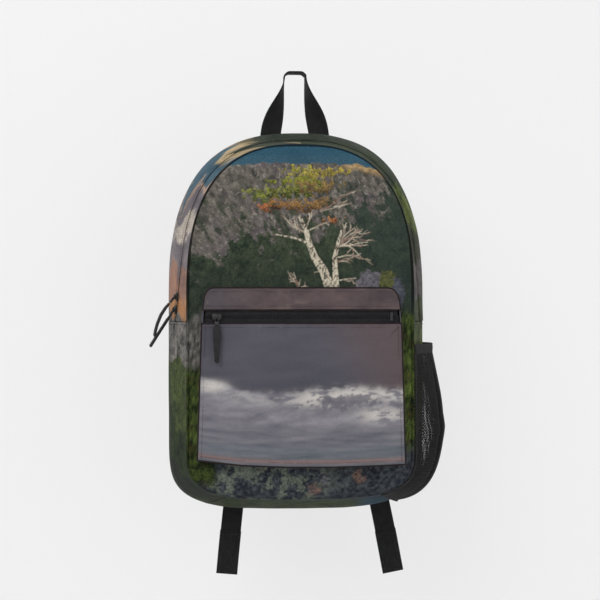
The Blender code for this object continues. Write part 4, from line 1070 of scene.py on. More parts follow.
# %% Sliders and pulls
SLIDER_LENGTH, SLIDER_WIDTH = 0.0104, 0.0072
SLIDER_GAP, PLATE, PLATE_LIFT = 0.0004, 0.0011, 0.0003
LUG_HEIGHT = 0.0034
EYE_HEIGHT = SLIDER_GAP + PLATE + LUG_HEIGHT * 0.52
TAB_LENGTH, TAB_OVER = 0.0105, 0.0012
TAB_HALF, TAB_HOLE = 0.0022, 0.0013      # half widths of the tab and of its opening
GRIP_STEPS, GRIP_RIBS, GRIP_HALF_DEPTH = 60, 17, 0.0011
UPPER_SLIDER_Z, LOWER_SLIDER_Z = 0.254, 0.239
TAPE = 0.0008


def metal_material(name, colour, roughness):
    made, node, out = new_material(name)
    place = node("TexCoord").outputs["Object"]
    wear = node("TexNoise", Vector=place, Scale=700.0, Detail=3.0)
    rough = node("MapRange", Value=wear.outputs["Fac"], To_Min=roughness - 0.08, To_Max=roughness + 0.12)
    shade = node("MapRange", Value=wear.outputs["Fac"], From_Min=0.35, From_Max=0.7,
                 To_Min=0.75, To_Max=1.35)
    base = node("VectorMath", {"operation": "SCALE"}, i0=colour, Scale=shade.outputs[0])
    bump = node("Bump", Strength=0.15, Distance=0.0001, Height=wear.outputs["Fac"])
    shader = node("BsdfPrincipled", Base_Color=base.outputs[0], Roughness=rough.outputs[0],
                  Normal=bump.outputs[0], Metallic=0.35)
    made.node_tree.links.new(shader.outputs[0], out["Surface"])
    return made


BLACK_PAINT = metal_material("black_painted_metal", (0.016, 0.016, 0.017), 0.42)
GRIP_RUBBER = fibre_material("grip_rubber", (0.017, 0.017, 0.018), 0.5, 0.0007, 0.00012)


def slab(shape, low, high):
    """A flat outline given its thickness, as points and faces."""
    count = len(shape)
    points = [(x, y, low) for x, y in shape] + [(x, y, high) for x, y in shape]
    faces = [tuple(range(count))[::-1], tuple(range(count, 2 * count))]
    faces += [(k, (k + 1) % count, count + (k + 1) % count, count + k) for k in range(count)]
    return points, faces


def arch_bar(reach, height, width, thick, foot):
    """A low bridge over the plate, its feet at plus and minus reach along Y."""
    points, faces, steps = [], [], 12
    for i in range(steps + 1):
        turn = math.pi * i / steps
        bow = (math.copysign(abs(math.cos(turn)) ** 0.7, 1 if math.cos(turn) > 0 else -1),
               abs(math.sin(turn)) ** 0.7)
        for inner in (0, 1):
            y = (reach - inner * thick) * bow[0]
            z = foot + (height - inner * thick) * bow[1]
            points += [(-width / 2, y, z), (width / 2, y, z)]
    for i in range(steps):
        a, b = 4 * i, 4 * i + 4
        faces += [(a, a + 1, b + 1, b), (a + 2, b + 2, b + 3, a + 3), (a, b, b + 2, a + 2),
                  (a + 1, a + 3, b + 3, b + 1)]
    faces += [(0, 2, 3, 1), (4 * steps, 4 * steps + 1, 4 * steps + 3, 4 * steps + 2)]
    return points, faces


def fitting(name, solids, axes, origin, material, bevel=0.00018):
    """Several small closed solids joined as one piece and stood with its axes at its place."""
    points, faces = [], []
    for solid_points, solid_faces in solids:
        faces += [tuple(k + len(points) for k in face) for face in solid_faces]
        points += solid_points
    placed = np.array(points) @ np.array(axes) + np.asarray(origin)
    made = piece(name, placed, faces, [material], smooth=False)
    outward_faces(made)
    step = made.modifiers.new("edges", "BEVEL")
    step.width, step.segments, step.limit_method = bevel, 2, "ANGLE"
    settle(made)
    made.data.shade_smooth()
    made.data.set_sharp_from_angle(angle=math.radians(50))
    return made


def turned(solid):
    """A quarter turn about Z."""
    return [(-y, x, z) for x, y, z in solid[0]], solid[1]


def unit(vector):
    vector = np.asarray(vector, float)
    return vector / np.linalg.norm(vector)


def rounded_box(half_wide, half_thick, count=16, power=4.0):
    turn = np.arange(count) * 2 * math.pi / count
    c, s = np.cos(turn), np.sin(turn)
    radius = (np.abs(c) ** power + np.abs(s) ** power) ** (-1 / power)
    return np.stack([half_wide * radius * c, half_thick * radius * s], -1)


def grip(name, start, hang, side, out, path, width, taper):
    """The long moulded grip: waisted where it joins the tab, then ribbed, with round ends."""
    stops = np.array([p[0] for p in path])
    fine = np.linspace(stops[0], stops[-1], GRIP_STEPS)
    rise, drift = (np.interp(fine, stops, [p[k] for p in path]) for k in (1, 2))
    line = start + hang * fine[:, None] + out * rise[:, None] + side * drift[:, None]
    share = np.linspace(0, 1, GRIP_STEPS)
    girth = 0.66 + 0.34 * smooth_step(share, 0.04, 0.14) - taper * smooth_step(share, 0.2, 1.0)
    ends = np.clip(np.minimum(share / 0.035, (1 - share) / 0.05), 0, 1)
    girth = girth * np.sqrt(1 - (1 - ends) ** 2 * 0.98)
    ribbed = smooth_step(share, 0.3, 0.36) * (1 - smooth_step(share, 0.86, 0.92))
    ribs = 1 + 0.16 * np.sin(share * 2 * math.pi * GRIP_RIBS) * ribbed
    section = np.stack([rounded_box(width / 2 * g, GRIP_HALF_DEPTH * r * (0.35 + 0.65 * min(1, e * 2)))
                        for g, r, e in zip(girth, ribs, ends)])
    return sweep(name, line, np.tile(out, (GRIP_STEPS, 1)), section, GRIP_RUBBER)


def zip_fittings(prefix, origin, along, out, hang, neck, width, path, bodies, crosswise=False,
                 taper=-0.05):
    """A slider, its tab and its grip, hung along a direction."""
    along, out, hang = unit(along), unit(out), unit(hang)
    across = np.cross(along, out)
    w, h = SLIDER_WIDTH / 2, SLIDER_LENGTH / 2
    shoulders = [(-w, 0.3 * h), (-0.84 * w, 0.86 * h), (-0.32 * w, h), (0.32 * w, h), (0.84 * w, 0.86 * h),
                 (w, 0.3 * h), (0.78 * w, -h), (-0.78 * w, -h)]
    top = SLIDER_GAP + PLATE_LIFT
    post = [(-0.0012, -0.3 * h), (0.0012, -0.3 * h), (0.0015, 0.75 * h), (-0.0015, 0.75 * h)]
    rail_outer, rail_inner = 0.98 * w, 0.80 * w
    rails = [[(s * rail_outer, -0.98 * h), (s * rail_inner, -0.98 * h),
              (s * rail_inner, 0.3 * h), (s * rail_outer, 0.3 * h)][::s] for s in (-1, 1)]
    bridge = arch_bar(0.0030, LUG_HEIGHT, 0.0020, 0.0009, top + PLATE - 0.0002)
    solids = [slab(shoulders, top, top + PLATE), slab(shoulders, -neck - PLATE, -neck),
              slab(post, -neck, top), turned(bridge) if crosswise else bridge]
    solids += [slab(rail, top - 0.0003, top + 0.0002) for rail in rails]
    body = fitting(f"{prefix}_slider_body", solids, (across, along, out), origin, BLACK_PAINT)
    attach(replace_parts(body, f"{prefix}_slider"), bodies[0])
    pivot = np.asarray(origin) + out * EYE_HEIGHT
    side = along if crosswise else across
    tab_out = unit(np.cross(side, -hang))
    reach = TAB_LENGTH - TAB_OVER
    arms = [slab([(s * TAB_HALF, TAB_OVER), (s * TAB_HOLE, TAB_OVER), (s * TAB_HOLE, -reach + 0.002),
                  (s * TAB_HALF, -reach + 0.002)][::s], -0.0007, 0.0007) for s in (-1, 1)]
    foot = [(-0.0024, -reach), (0.0024, -reach), (TAB_HALF, -reach + 0.0036),
            (-TAB_HALF, -reach + 0.0036)]
    pin = slab(oval(0.0006, 0.0006, 10).tolist(), -TAB_HALF, TAB_HALF)
    pin = [(z, y, x) for x, y, z in pin[0]], pin[1]
    tab = fitting(f"{prefix}_tab", arms + [slab(foot, -0.0008, 0.0008), pin], (side, -hang, tab_out), pivot,
                  BLACK_PAINT, 0.00025)
    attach(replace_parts(tab, f"{prefix}_pull_tab"), bodies[1])
    start = pivot + hang * (reach + 0.0001)
    pull = grip(f"{prefix}_grip", start, hang, side, tab_out, path, width, taper)
    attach(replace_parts(pull, f"{prefix}_pull_ribbon"), bodies[1])
    return pull


MIRROR = np.array((-1.0, 1.0, 1.0))
RUN_WAY = unit((RUN_HIGH - RUN_LOW) * MIRROR)
slider_q = -float(q_at_height(UPPER_SLIDER_Z, inset_at(ZIP_Y)))
slider_out = outward(slider_q, zip_point(slider_q)[1])
slider_out = unit(slider_out - RUN_WAY * (slider_out @ RUN_WAY))
for prefix, height, lean, path, bodies in (
    ("main_upper", UPPER_SLIDER_Z, 38.0,
     ((0.0008, 0, 0), (0.008, 0.0010, 0.0032), (0.018, 0.0004, 0.0056), (0.028, -0.0030, 0.0066),
      (0.036, -0.0070, 0.0070), (0.042, -0.0110, 0.0072)), ("upper_slider", "upper_pull")),
    ("main_lower", LOWER_SLIDER_Z, 27.0,
     ((0, 0, 0), (0.009, 0, -0.0008), (0.018, 0, -0.0016), (0.027, 0, -0.0022), (0.035, 0, -0.0026),
      (0.043, 0, -0.0028)), ("lower_slider", "lower_pull")),
):
    start = RUN_LOW * MIRROR
    place = start + RUN_WAY * ((height - start[2]) / RUN_WAY[2])
    turn = math.radians(lean)
    zip_fittings(prefix, place, RUN_WAY, slider_out, slider_out * math.sin(turn) - RUN_WAY * math.cos(turn),
                 TAPE_DROP + TAPE + SLIDER_GAP, 0.0064, path, bodies)
print("two sliders on the main zip")

# %% [markdown]
# The front pocket is a box sewn on the panel: a top band, an exposed zip, a crowned face, two sides and
# a base. A thin bound edge runs round the face, and rows of maroon thread hold the hems. The picture
# on it is an evening sky with long streaks of cloud, painted by the same functions as the front.

# %% The pocket's shape
POCKET_TOP, POCKET_BOTTOM, POCKET_ZIP_Z = 0.264, 0.060, 0.231
POCKET_ZIP_Y, POCKET_BOTTOM_Y, POCKET_SIDE_Y = -0.0765, -0.086, -0.0735
POCKET_ZIP_SLOT = 0.0070
POCKET_HALF_TOP, POCKET_HALF_ZIP, POCKET_HALF_BOTTOM = 0.110, 0.114, 0.119
BAND_EDGE, FACE_EDGE = POCKET_ZIP_Z + POCKET_ZIP_SLOT, POCKET_ZIP_Z - POCKET_ZIP_SLOT


CORNER_ROUND = 0.012
BAND_CREASES = (
    # x at the top, lean, depth
    (-0.104, 0.7, 0.0012),
    (-0.090, 0.9, 0.0008),
    (0.084, -0.3, 0.0009),
    (0.101, -0.5, 0.0011),
)
HEM_LINE = ((-0.119, 0.0082), (-0.070, 0.0030), (-0.020, 0.0008), (0.040, 0.0004), (0.119, 0.0018))


def hem_rise(x):
    """How far the pocket's hem stands above its lowest line: it hangs a little askew."""
    return np.interp(x, *zip(*HEM_LINE))


def sagged(points):
    """Draws the lower part of the pocket up to its hem line."""
    share = smooth_step(points[..., 2], FACE_EDGE, POCKET_BOTTOM)
    moved = np.array(points)
    moved[..., 2] += hem_rise(points[..., 0]) * share
    return moved


def pocket_half(z):
    straight = np.interp(z, (POCKET_BOTTOM, POCKET_ZIP_Z, POCKET_TOP),
                         (POCKET_HALF_BOTTOM, POCKET_HALF_ZIP, POCKET_HALF_TOP))
    above = np.clip(z - (POCKET_TOP - CORNER_ROUND), 0, CORNER_ROUND)
    return straight - (CORNER_ROUND - np.sqrt(CORNER_ROUND ** 2 - above ** 2)) * 0.8


def pocket_face_y(x, z):
    share = (POCKET_ZIP_Z - z) / (POCKET_ZIP_Z - POCKET_BOTTOM)
    middle = POCKET_ZIP_Y + (POCKET_BOTTOM_Y - POCKET_ZIP_Y) * np.sin(share * math.pi / 2)
    edge = POCKET_ZIP_Y + (POCKET_SIDE_Y - POCKET_ZIP_Y) * share
    across = np.clip(1 - (x / pocket_half(z)) ** 2, 0, None)
    return edge + (middle - edge) * across ** 0.7


def pocket_band_y(x, z):
    share = np.clip((POCKET_TOP - z) / (POCKET_TOP - BAND_EDGE), 0, 1)
    sewn = front_y(x, z) - CLOTH - 0.0004
    creases = sum(depth * np.exp(-((x - start - lean * (POCKET_TOP - z)) / 0.0028) ** 2)
                  for start, lean, depth in BAND_CREASES) * np.sin(share * math.pi)
    return sewn + (POCKET_ZIP_Y - sewn) * np.sin(share * math.pi / 2) + creases


CLOUD_EDGE = ((-118, 160), (-75, 151), (-30, 141), (10, 143), (50, 153), (82, 152), (118, 143))


def evening_paint(x, z):
    """The pocket's sky, from x and z in millimetres."""
    veil = patches(x / 4.5, z - x * 0.08, 24, 302, 3)
    sky = tone((0.068, 0.068, 0.086), (0.108, 0.102, 0.122), veil)
    sky = lay(sky, (0.115, 0.082, 0.084), smooth_step(x + 0.5 * z, 110, 200) * 0.75)
    stops, heights = zip(*CLOUD_EDGE)
    edge = np.interp(x, stops, heights) + (patches(x / 1.6, z / 2, 22, 303, 4) - 0.5) * 14
    body = patches(x / 2.6, z * 1.1 - x * 0.10, 11, 301, 4)
    cloud = tone((0.120, 0.116, 0.142), (0.290, 0.275, 0.300), body)
    sky = lay(sky, cloud, 1 - smooth_step(z, edge - 3, edge + 4))
    fine = patches(x / 2.2, z * 1.3, 6, 306, 4)
    glow = np.exp(-((z - edge + 8) / 8.5) ** 2) * smooth_step(fine, 0.30, 0.62)
    left_glow = np.exp(-((x + 104) / 16) ** 2 - ((z - 150) / 7) ** 2)
    glow = glow * (0.30 + 0.70 * smooth_step(x, -35, 20)) + 0.75 * left_glow
    low_glow = np.exp(-((x - 92) / 26) ** 2 - ((z - 118) / 9) ** 2) * smooth_step(fine, 0.25, 0.6)
    sky = lay(sky, (0.62, 0.585, 0.545), np.clip(glow + low_glow, 0, 1) * 0.9)
    puff = blob(x, z, (48, 134), (34, 7), 307, 0.8)
    sky = lay(sky, (0.135, 0.125, 0.150), puff * 0.75)
    streak = patches(x / 9, z, 4.2, 305, 3)
    low = tone((0.100, 0.102, 0.125), (0.215, 0.205, 0.232), streak)
    sky = lay(sky, low, smooth_step(z, 112, 94) * 0.85)
    sea = tone((0.085, 0.105, 0.125), (0.165, 0.175, 0.195), streak)
    sky = lay(sky, sea, smooth_step(z, 88, 79) * 0.8)
    return lay(sky, (0.27, 0.165, 0.15), np.exp(-((z - 66) / 2.4) ** 2) * 0.7)


def pocket_sheet(name, stops, y_of, columns, seed, colour):
    """A horizontal sheet of the pocket between heights, with dents along its edges."""
    shares = np.linspace(-1, 1, columns)
    half = pocket_half(stops)[:, None]
    x = half * shares[None, :]
    z = np.broadcast_to(stops[:, None], x.shape)
    points = sagged(np.stack([x, y_of(x, z), z], -1))
    to_side = half - np.abs(x)
    to_hem = np.minimum(np.abs(z - stops[0]), np.abs(z - stops[-1]))
    gap = np.minimum(to_side, to_hem)
    run = np.where(to_side < to_hem, z, x)
    points = soften(points, run, gap, seed, swell=0.0011, pucker=0.0009)
    made = panel(name, points, [POCKET_CLOTH, LINING_CLOTH], colour(x * 1000, z * 1000))
    return made


def mauve_paint(x, z):
    mauve = tone((0.066, 0.052, 0.056), (0.124, 0.088, 0.090), patches(x / 2, z, 12, 311, 3))
    mauve = lay(mauve, (0.072, 0.068, 0.080), smooth_step(-x, 40, 105) * 0.6)
    return lay(mauve, (0.190, 0.145, 0.130), smooth_step(patches(x / 3, z, 8, 312), 0.70, 0.95) * 0.4)


# %% Pocket panels
face_rows = np.linspace(FACE_EDGE, POCKET_BOTTOM, 110)
face = pocket_sheet("pocket_face_cloth", face_rows, pocket_face_y, 150, 131,
                    evening_paint)
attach(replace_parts(face, "pocket_face"), "root")
band_rows = np.linspace(POCKET_TOP, BAND_EDGE, 26)
band = pocket_sheet("pocket_band_cloth", band_rows, pocket_band_y, 150, 133,
                    mauve_paint)
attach(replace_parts(band, "pocket_top_band"), "root")
for side, word in ((-1, "left"), (1, "right")):
    z = np.linspace(POCKET_BOTTOM + 0.002, BAND_EDGE + 0.012, 70)
    x = side * (pocket_half(z) - CLOTH * 0.6)
    band_front = np.minimum(POCKET_ZIP_Y, pocket_band_y(x, np.maximum(z, BAND_EDGE)))
    front = np.where(z < POCKET_ZIP_Z, pocket_face_y(x, z), band_front)
    sewn = front_y(x, z) - 0.0004
    front = np.minimum(front + CLOTH, sewn - 0.001)
    across = np.linspace(0, 1, 12)[None, :]
    y = front[:, None] + (sewn - front)[:, None] * across
    bow = side * 0.0008 * np.sin(across * math.pi)
    points = sagged(np.stack([x[:, None] + bow, y, np.broadcast_to(z[:, None], y.shape)], -1))
    wall_side = panel(f"pocket_wall_{word}", points, [SIDE_CLOTH, LINING_CLOTH],
                      evening_paint(points[..., 1] * 900 + 90 * side, points[..., 2] * 1000) * 0.8)
    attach(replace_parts(wall_side, f"pocket_side_{word}"), "root")
x = np.linspace(-1, 1, 90) * (POCKET_HALF_BOTTOM - 2 * CLOTH)
low = POCKET_BOTTOM + CLOTH
front, sewn = pocket_face_y(x, POCKET_BOTTOM + 0 * x) + CLOTH, front_y(x, low + 0 * x) - 0.0004
across = np.linspace(0, 1, 10)[None, :]
y = front[:, None] + (sewn - front)[:, None] * across
sag = 0.0006 * np.sin(across * math.pi)
points = np.stack([np.broadcast_to(x[:, None], y.shape), y, low - sag + 0 * y], -1)
points = sagged(points)
deep_blue = np.broadcast_to((0.022, 0.060, 0.095), points.shape)
base = panel("pocket_floor", points, [SIDE_CLOTH, LINING_CLOTH], deep_blue)
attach(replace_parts(base, "pocket_base"), "root")
print("pocket of", 5, "panels")

# %% Bound edges, hems and topstitching of the pocket
EDGE_YARN = fibre_material("edge_binding", (0.017, 0.010, 0.010), 0.6, 0.0008, 0.0002)
EDGE_RADIUS = 0.0009


def edge_run(z_from, z_to, y_of, side, count=60, inward=0.0):
    z = np.linspace(z_from, z_to, count)
    x = side * (pocket_half(z) - inward)
    return sagged(np.stack([x, y_of(x, z), z], -1))


def across_run(z, y_of, inward=0.0, count=110, side=1):
    x = side * np.linspace(-1, 1, count) * (pocket_half(z) - inward)
    return sagged(np.stack([x, y_of(x, z + 0 * x), z + 0 * x], -1))


forward = np.array((0.0, -1.0, 0.0))
loop = np.concatenate([
    edge_run(FACE_EDGE, POCKET_BOTTOM, pocket_face_y, -1), across_run(POCKET_BOTTOM, pocket_face_y)[1:-1],
    edge_run(POCKET_BOTTOM, FACE_EDGE, pocket_face_y, 1),
])
top_loop = np.concatenate([
    edge_run(BAND_EDGE, POCKET_TOP, pocket_band_y, -1, 24), across_run(POCKET_TOP, pocket_band_y)[1:-1],
    edge_run(POCKET_TOP, BAND_EDGE, pocket_band_y, 1, 24),
])
for name, line in (("pocket_face_binding", loop), ("pocket_band_binding", top_loop)):
    binding = sweep(name, line + forward * 0.0001, np.tile(forward, (len(line), 1)),
                    oval(EDGE_RADIUS, EDGE_RADIUS, 8), EDGE_YARN)
    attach(binding, "root")
for name, z, y_of in (("pocket_hem_upper", BAND_EDGE + 0.0008, pocket_band_y),
                      ("pocket_hem_lower", FACE_EDGE - 0.0008, pocket_face_y)):
    line = across_run(z, y_of, 0.001)
    fold = sweep(name, line + forward * -0.0004, np.tile(forward, (len(line), 1)),
                 oval(0.0010, 0.0008, 8), EDGE_YARN)
    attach(fold, "root")
lifted = forward * 0.0003
rows = [
    (across_run(POCKET_TOP - 0.0045, pocket_band_y, 0.004) + lifted, forward),
    (across_run(BAND_EDGE + 0.0050, pocket_band_y, 0.004) + lifted, forward),
    (across_run(FACE_EDGE - 0.0050, pocket_face_y, 0.004) + lifted, forward),
    (across_run(POCKET_BOTTOM + 0.0050, pocket_face_y, 0.004) + lifted, forward),
]
rows += [
    (edge_run(FACE_EDGE - 0.004, POCKET_BOTTOM + 0.004, pocket_face_y, side, 60, 0.0045) + lifted,
     forward)
    for side in (-1, 1)
]
stitches = along_lines("pocket_stitches", rows, STITCH_PITCH, THREAD, MAROON_THREAD)
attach(stitches, "root")
print("pocket stitches:", len(stitches.data.polygons), "faces")

# %% The pocket's zip
POCKET_TAPE_DROP = CLOTH + 0.0012
reach = float(pocket_half(POCKET_ZIP_Z)) - 0.004
teeth_y = POCKET_ZIP_Y + POCKET_TAPE_DROP - 0.0004
for word, rise, shift in (("upper", 0.0009, 0.0), ("lower", -0.0009, 0.5)):
    x = np.linspace(-reach, reach, 60) + shift * TOOTH_PITCH
    line = np.stack([x, 0 * x + teeth_y, 0 * x + POCKET_ZIP_Z + rise], -1)
    teeth = along_lines(f"pocket_zip_teeth_{word}", [(line, forward)], TOOTH_PITCH, (0.0011, 0.0027, 0.0014),
                        TOOTH_YARN)
    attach(teeth, "root")
zip_fittings("pocket", (-0.097, POCKET_ZIP_Y, POCKET_ZIP_Z), (1, 0, 0), (0, -1, 0), (0, -0.10, -1.0),
             POCKET_TAPE_DROP + TAPE + SLIDER_GAP, 0.0090,
             ((0, 0, 0), (0.008, 0.0006, 0), (0.016, 0.0008, 0), (0.024, 0.0006, 0), (0.032, 0.0002, 0),
              (0.043, 0, 0)), ("pocket_slider", "pocket_pull"), crosswise=True, taper=0.42)
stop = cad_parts["pocket_zip_stop"]
stop.data.materials.clear()
stop.data.materials.append(BLACK_PAINT)
print("pocket zip with its slider")

# %% [markdown]
# The bottle pocket on the right side is knitted netting with an elastic top. Netting is real open
# hexagons here: a honeycomb of edges laid over the pocket's bulge, which a node tree turns into
# threads. A soft upright fold takes up the slack, as the elastic draws the mouth in.

# %% Bottle pocket
BOTTLE_TOP, BOTTLE_BULGE, BOTTLE_MOUTH, BOTTLE_CLEARANCE = 0.187, 0.026, 0.0095, 0.0014
BOTTLE_LOW_Q = 0.66
BOTTLE_HIGH_Q = 1.0 + (BOTTLE_TOP - CORNER_HEIGHT) / (ARCH_START - CORNER_HEIGHT)
NET_THICKNESS = 0.0010
BAND_HEIGHT = 0.011


def bottle_point(share, depth, lift=0.0):
    """The net at a share of its height and of the gusset's depth."""
    share, depth = np.broadcast_arrays(np.asarray(share, float), np.asarray(depth, float))
    q = BOTTLE_LOW_Q + (BOTTLE_HIGH_Q - BOTTLE_LOW_Q) * share
    y = RIM_EDGE + 0.0004 + (BACK_EDGE - RIM_EDGE - 0.0008) * depth
    (low_x, low_z), (high_x, high_z) = outline(q - 0.01, inset_at(y)), outline(q + 0.01, inset_at(y))
    normal = np.stack([high_z - low_z, 0 * low_x, low_x - high_x], -1)
    normal /= np.linalg.norm(normal, axis=-1, keepdims=True)
    belly = np.sin(math.pi * np.clip(share, 0, 1) ** 0.72) * BOTTLE_BULGE
    mouth = BOTTLE_MOUTH * np.clip(share - 0.55, 0, None) / 0.45
    out = (belly + mouth) * np.sin(math.pi * np.clip(depth, 0, 1)) ** 0.55
    return gusset(q, y) + normal * (BOTTLE_CLEARANCE + out + lift)[..., None]


def net_point(share, depth):
    share_low = np.clip(share, 0, 1)
    fuller, slimmer = (np.sin(math.pi * share_low ** power) for power in (0.72, 1.05))
    tuck = (fuller - slimmer).clip(0) * BOTTLE_BULGE * 0.8
    slack = np.exp(-((depth - 0.36 - 0.05 * share) / 0.035) ** 2) * np.sin(math.pi * share_low) * 0.0045
    middle_share = np.sin(math.pi * np.clip(depth, 0, 1)) ** 0.55
    waves = 0.0006 * np.sin(depth * 60) * smooth_step(share, 0.80, 1.0)
    edge = smooth_step(np.minimum(depth, 1 - depth), 0.0, 0.12)
    return bottle_point(share, depth, NET_THICKNESS / 2 + (waves - slack) * edge - tuck * middle_share)


def net_tree():
    """Turns every edge of a mesh into a thin four-sided thread."""
    tree = bpy.data.node_groups.new("threads_from_edges", "GeometryNodeTree")
    for label, kind in (("Geometry", "Geometry"), ("Thread Radius", "Float"), ("Material", "Material")):
        tree.interface.new_socket(label, in_out="INPUT", socket_type=f"NodeSocket{kind}")
    tree.interface.new_socket("Geometry", in_out="OUTPUT", socket_type="NodeSocketGeometry")
    kinds = ("NodeGroupInput", "GeometryNodeMeshToCurve", "GeometryNodeCurvePrimitiveCircle",
             "GeometryNodeCurveToMesh", "GeometryNodeRealizeInstances", "GeometryNodeSetMaterial",
             "NodeGroupOutput")
    given, curve, round_line, thread, real, paint, result = (tree.nodes.new(kind) for kind in kinds)
    round_line.inputs["Resolution"].default_value = 4
    link = tree.links.new
    link(given.outputs[0], curve.inputs[0])
    link(given.outputs[1], round_line.inputs["Radius"])
    link(curve.outputs[0], thread.inputs["Curve"])
    link(round_line.outputs[0], thread.inputs["Profile Curve"])
    link(thread.outputs[0], real.inputs[0])
    link(real.outputs[0], paint.inputs["Geometry"])
    link(given.outputs[2], paint.inputs["Material"])
    link(paint.outputs[0], result.inputs[0])
    return tree


NET_YARN = fibre_material("net_yarn", (0.018, 0.017, 0.018), 0.6, 0.001, 0.0001, source=None)
NET_COLUMNS, NET_ROWS = 112, 84
THREAD_RADIUS = 0.00056
i, j = np.meshgrid(np.arange(NET_ROWS + 1), np.arange(NET_COLUMNS + 1), indexing="ij")
zigzag = np.where((i + j) % 2 == 0, 0.22, -0.22)
share = np.clip((i + np.where((i > 0) & (i < NET_ROWS), zigzag, 0)) / NET_ROWS, 0, 1)
knots = net_point(share, j / NET_COLUMNS).reshape(-1, 3) + TO_HANG_POINT
index = i * (NET_COLUMNS + 1) + j
level = np.stack([index[:, :-1].ravel(), index[:, 1:].ravel()], 1)
upright = np.stack([index[:-1].ravel(), index[1:].ravel()], 1)[((i + j) % 2 == 0)[:-1].ravel()]
mesh = bpy.data.meshes.new("bottle_net")
mesh.from_pydata(knots.tolist(), np.concatenate([level, upright]).tolist(), [])
net = bpy.data.objects.new("bottle_net", mesh)
scene.collection.objects.link(net)
tree = net_tree()
step = net.modifiers.new("threads", "NODES")
step.node_group = tree
sockets = {s.name: s.identifier for s in tree.interface.items_tree if s.in_out == "INPUT"}
step[sockets["Thread Radius"]] = THREAD_RADIUS
step[sockets["Material"]] = NET_YARN
settle(net)
outward_faces(net)
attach(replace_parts(net, "bottle_pocket_net"), "root")
print("net:", len(net.data.polygons), "faces")

# %% Elastic band and bound edges of the bottle pocket
ELASTIC = fibre_material("elastic_band", (0.024, 0.022, 0.022), 0.7, 0.0012, 0.0004)
depth = np.linspace(0, 1, 120)
gathers = np.sin(depth * 190) * smooth_step(np.minimum(depth, 1 - depth), 0, 0.05)
line = bottle_point(1.0, depth, NET_THICKNESS / 2 + 0.0003 * gathers)
line[:, 2] = BOTTLE_TOP + 0.0004 + BAND_HEIGHT / 2
along = np.gradient(line, axis=0)
outs = np.cross((0, 0, 1.0), along)
outs *= np.where(outs[:, :1] < 0, -1, 1)
band_section = rounded_box(BAND_HEIGHT / 2, 0.0010, 24, 6.0)
band_ribs = np.cos(band_section[:, 0] / 0.0011 * math.pi)
band_section[:, 1] += 0.00022 * band_ribs * np.sign(band_section[:, 1])
elastic = sweep("bottle_elastic", line, outs, band_section, ELASTIC)
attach(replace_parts(elastic, "bottle_pocket_band"), "root")
rows = []
for end in (0.0, 1.0):
    share = np.linspace(0.0, 1.0, 80)
    edge = bottle_point(share, abs(end - 0.004), NET_THICKNESS / 2)
    outs = np.tile((1.0, -0.6 if end == 0 else 0.6, 0), (80, 1))
    bound = sweep(f"bottle_edge_{'front' if end == 0 else 'rear'}", edge, outs,
                  rounded_box(0.0018, 0.0008, 12), ELASTIC)
    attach(bound, "root")
share = np.linspace(0.02, 0.98, 90)
low_edge = bottle_point(0.004, share, NET_THICKNESS / 2)
bound = sweep("bottle_edge_low", low_edge, np.tile((1.0, 0, -0.6), (90, 1)),
              rounded_box(0.0018, 0.0008, 12), ELASTIC)
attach(bound, "root")
print("elastic band round the mouth")

# %% [markdown]
# The back panel and the inside of the straps are foam under knitted spacer mesh: a black fabric with
# rows of small round holes. Its finish is a cell pattern in space, so it needs no map and keeps its
# size on pads that were blown up and remeshed.

# %% Spacer mesh
def spacer_mesh_material(name, colour, hole=0.0022):
    made, node, out = new_material(name)
    place = node("TexCoord").outputs["Object"]
    cells = node("TexVoronoi", {"feature": "F1"}, Vector=place, Scale=1.0 / hole, Randomness=0.15)
    rim = node("MapRange", {"interpolation_type": "SMOOTHSTEP"}, Value=cells.outputs["Distance"],
               From_Min=0.10, From_Max=0.42, To_Min=0.0, To_Max=1.0)
    fuzz = node("TexNoise", Vector=place, Scale=900.0, Detail=2.0)
    both = node("Math", {"operation": "MULTIPLY_ADD"}, i0=fuzz.outputs["Fac"], i1=0.2, i2=rim.outputs[0])
    # The holes are painted darker than the knit round them, down to about a third: painted shade in the
    # holes.
    shade = node("MapRange", Value=both.outputs[0], From_Max=1.2, To_Min=0.35, To_Max=1.25)
    base = node("VectorMath", {"operation": "SCALE"}, i0=colour, Scale=shade.outputs[0])
    bump = node("Bump", Strength=0.7, Distance=0.0007, Height=both.outputs[0])
    rough = node("MapRange", Value=rim.outputs[0], To_Min=0.95, To_Max=0.72)
    shader = node("BsdfPrincipled", Base_Color=base.outputs[0], Roughness=rough.outputs[0],
                  Normal=bump.outputs[0], Sheen_Weight=0.08, Sheen_Roughness=0.5)
    shader.inputs["Specular IOR Level"].default_value = 0.2
    made.node_tree.links.new(shader.outputs[0], out["Surface"])
    return made


SPACER_MESH = spacer_mesh_material("spacer_mesh", (0.026, 0.026, 0.028))
BOARD_SHEET = fibre_material("board_sheet", (0.42, 0.42, 0.41), 0.55, 0.004, 0.00008, 0.06, source=None)
print("spacer mesh ready")

# %% [markdown]
# Straps are flat webbing, 25 mm wide, with a fine rib and a slightly thicker edge. They are modelled
# directly: a flat section swept along the strap's path, with its width turned where the strap turns.
# The carry handle twists a quarter turn from each root, so that its crown lies flat on a hook.

# %% Webbing and the carry handle
WEBBING, WEBBING_THICKNESS = 0.025, 0.0014
HANDLE_BASE_HALF, HANDLE_CROWN_HALF = 0.030, 0.008
HANDLE_SHOULDER_HALF, HANDLE_SHOULDER_DROP = 0.013, 0.004


def flat_section(width, thickness, count=11):
    """A flat rectangle with soft selvedges, its two faces divided so that they can carry ribs."""
    u = np.linspace(-1, 1, count)
    half = thickness / 2 * (1 - 0.35 * np.abs(u) ** 16)
    top = np.stack([u * width / 2, half], -1)
    return np.concatenate([top, top[::-1] * (1, -1)])


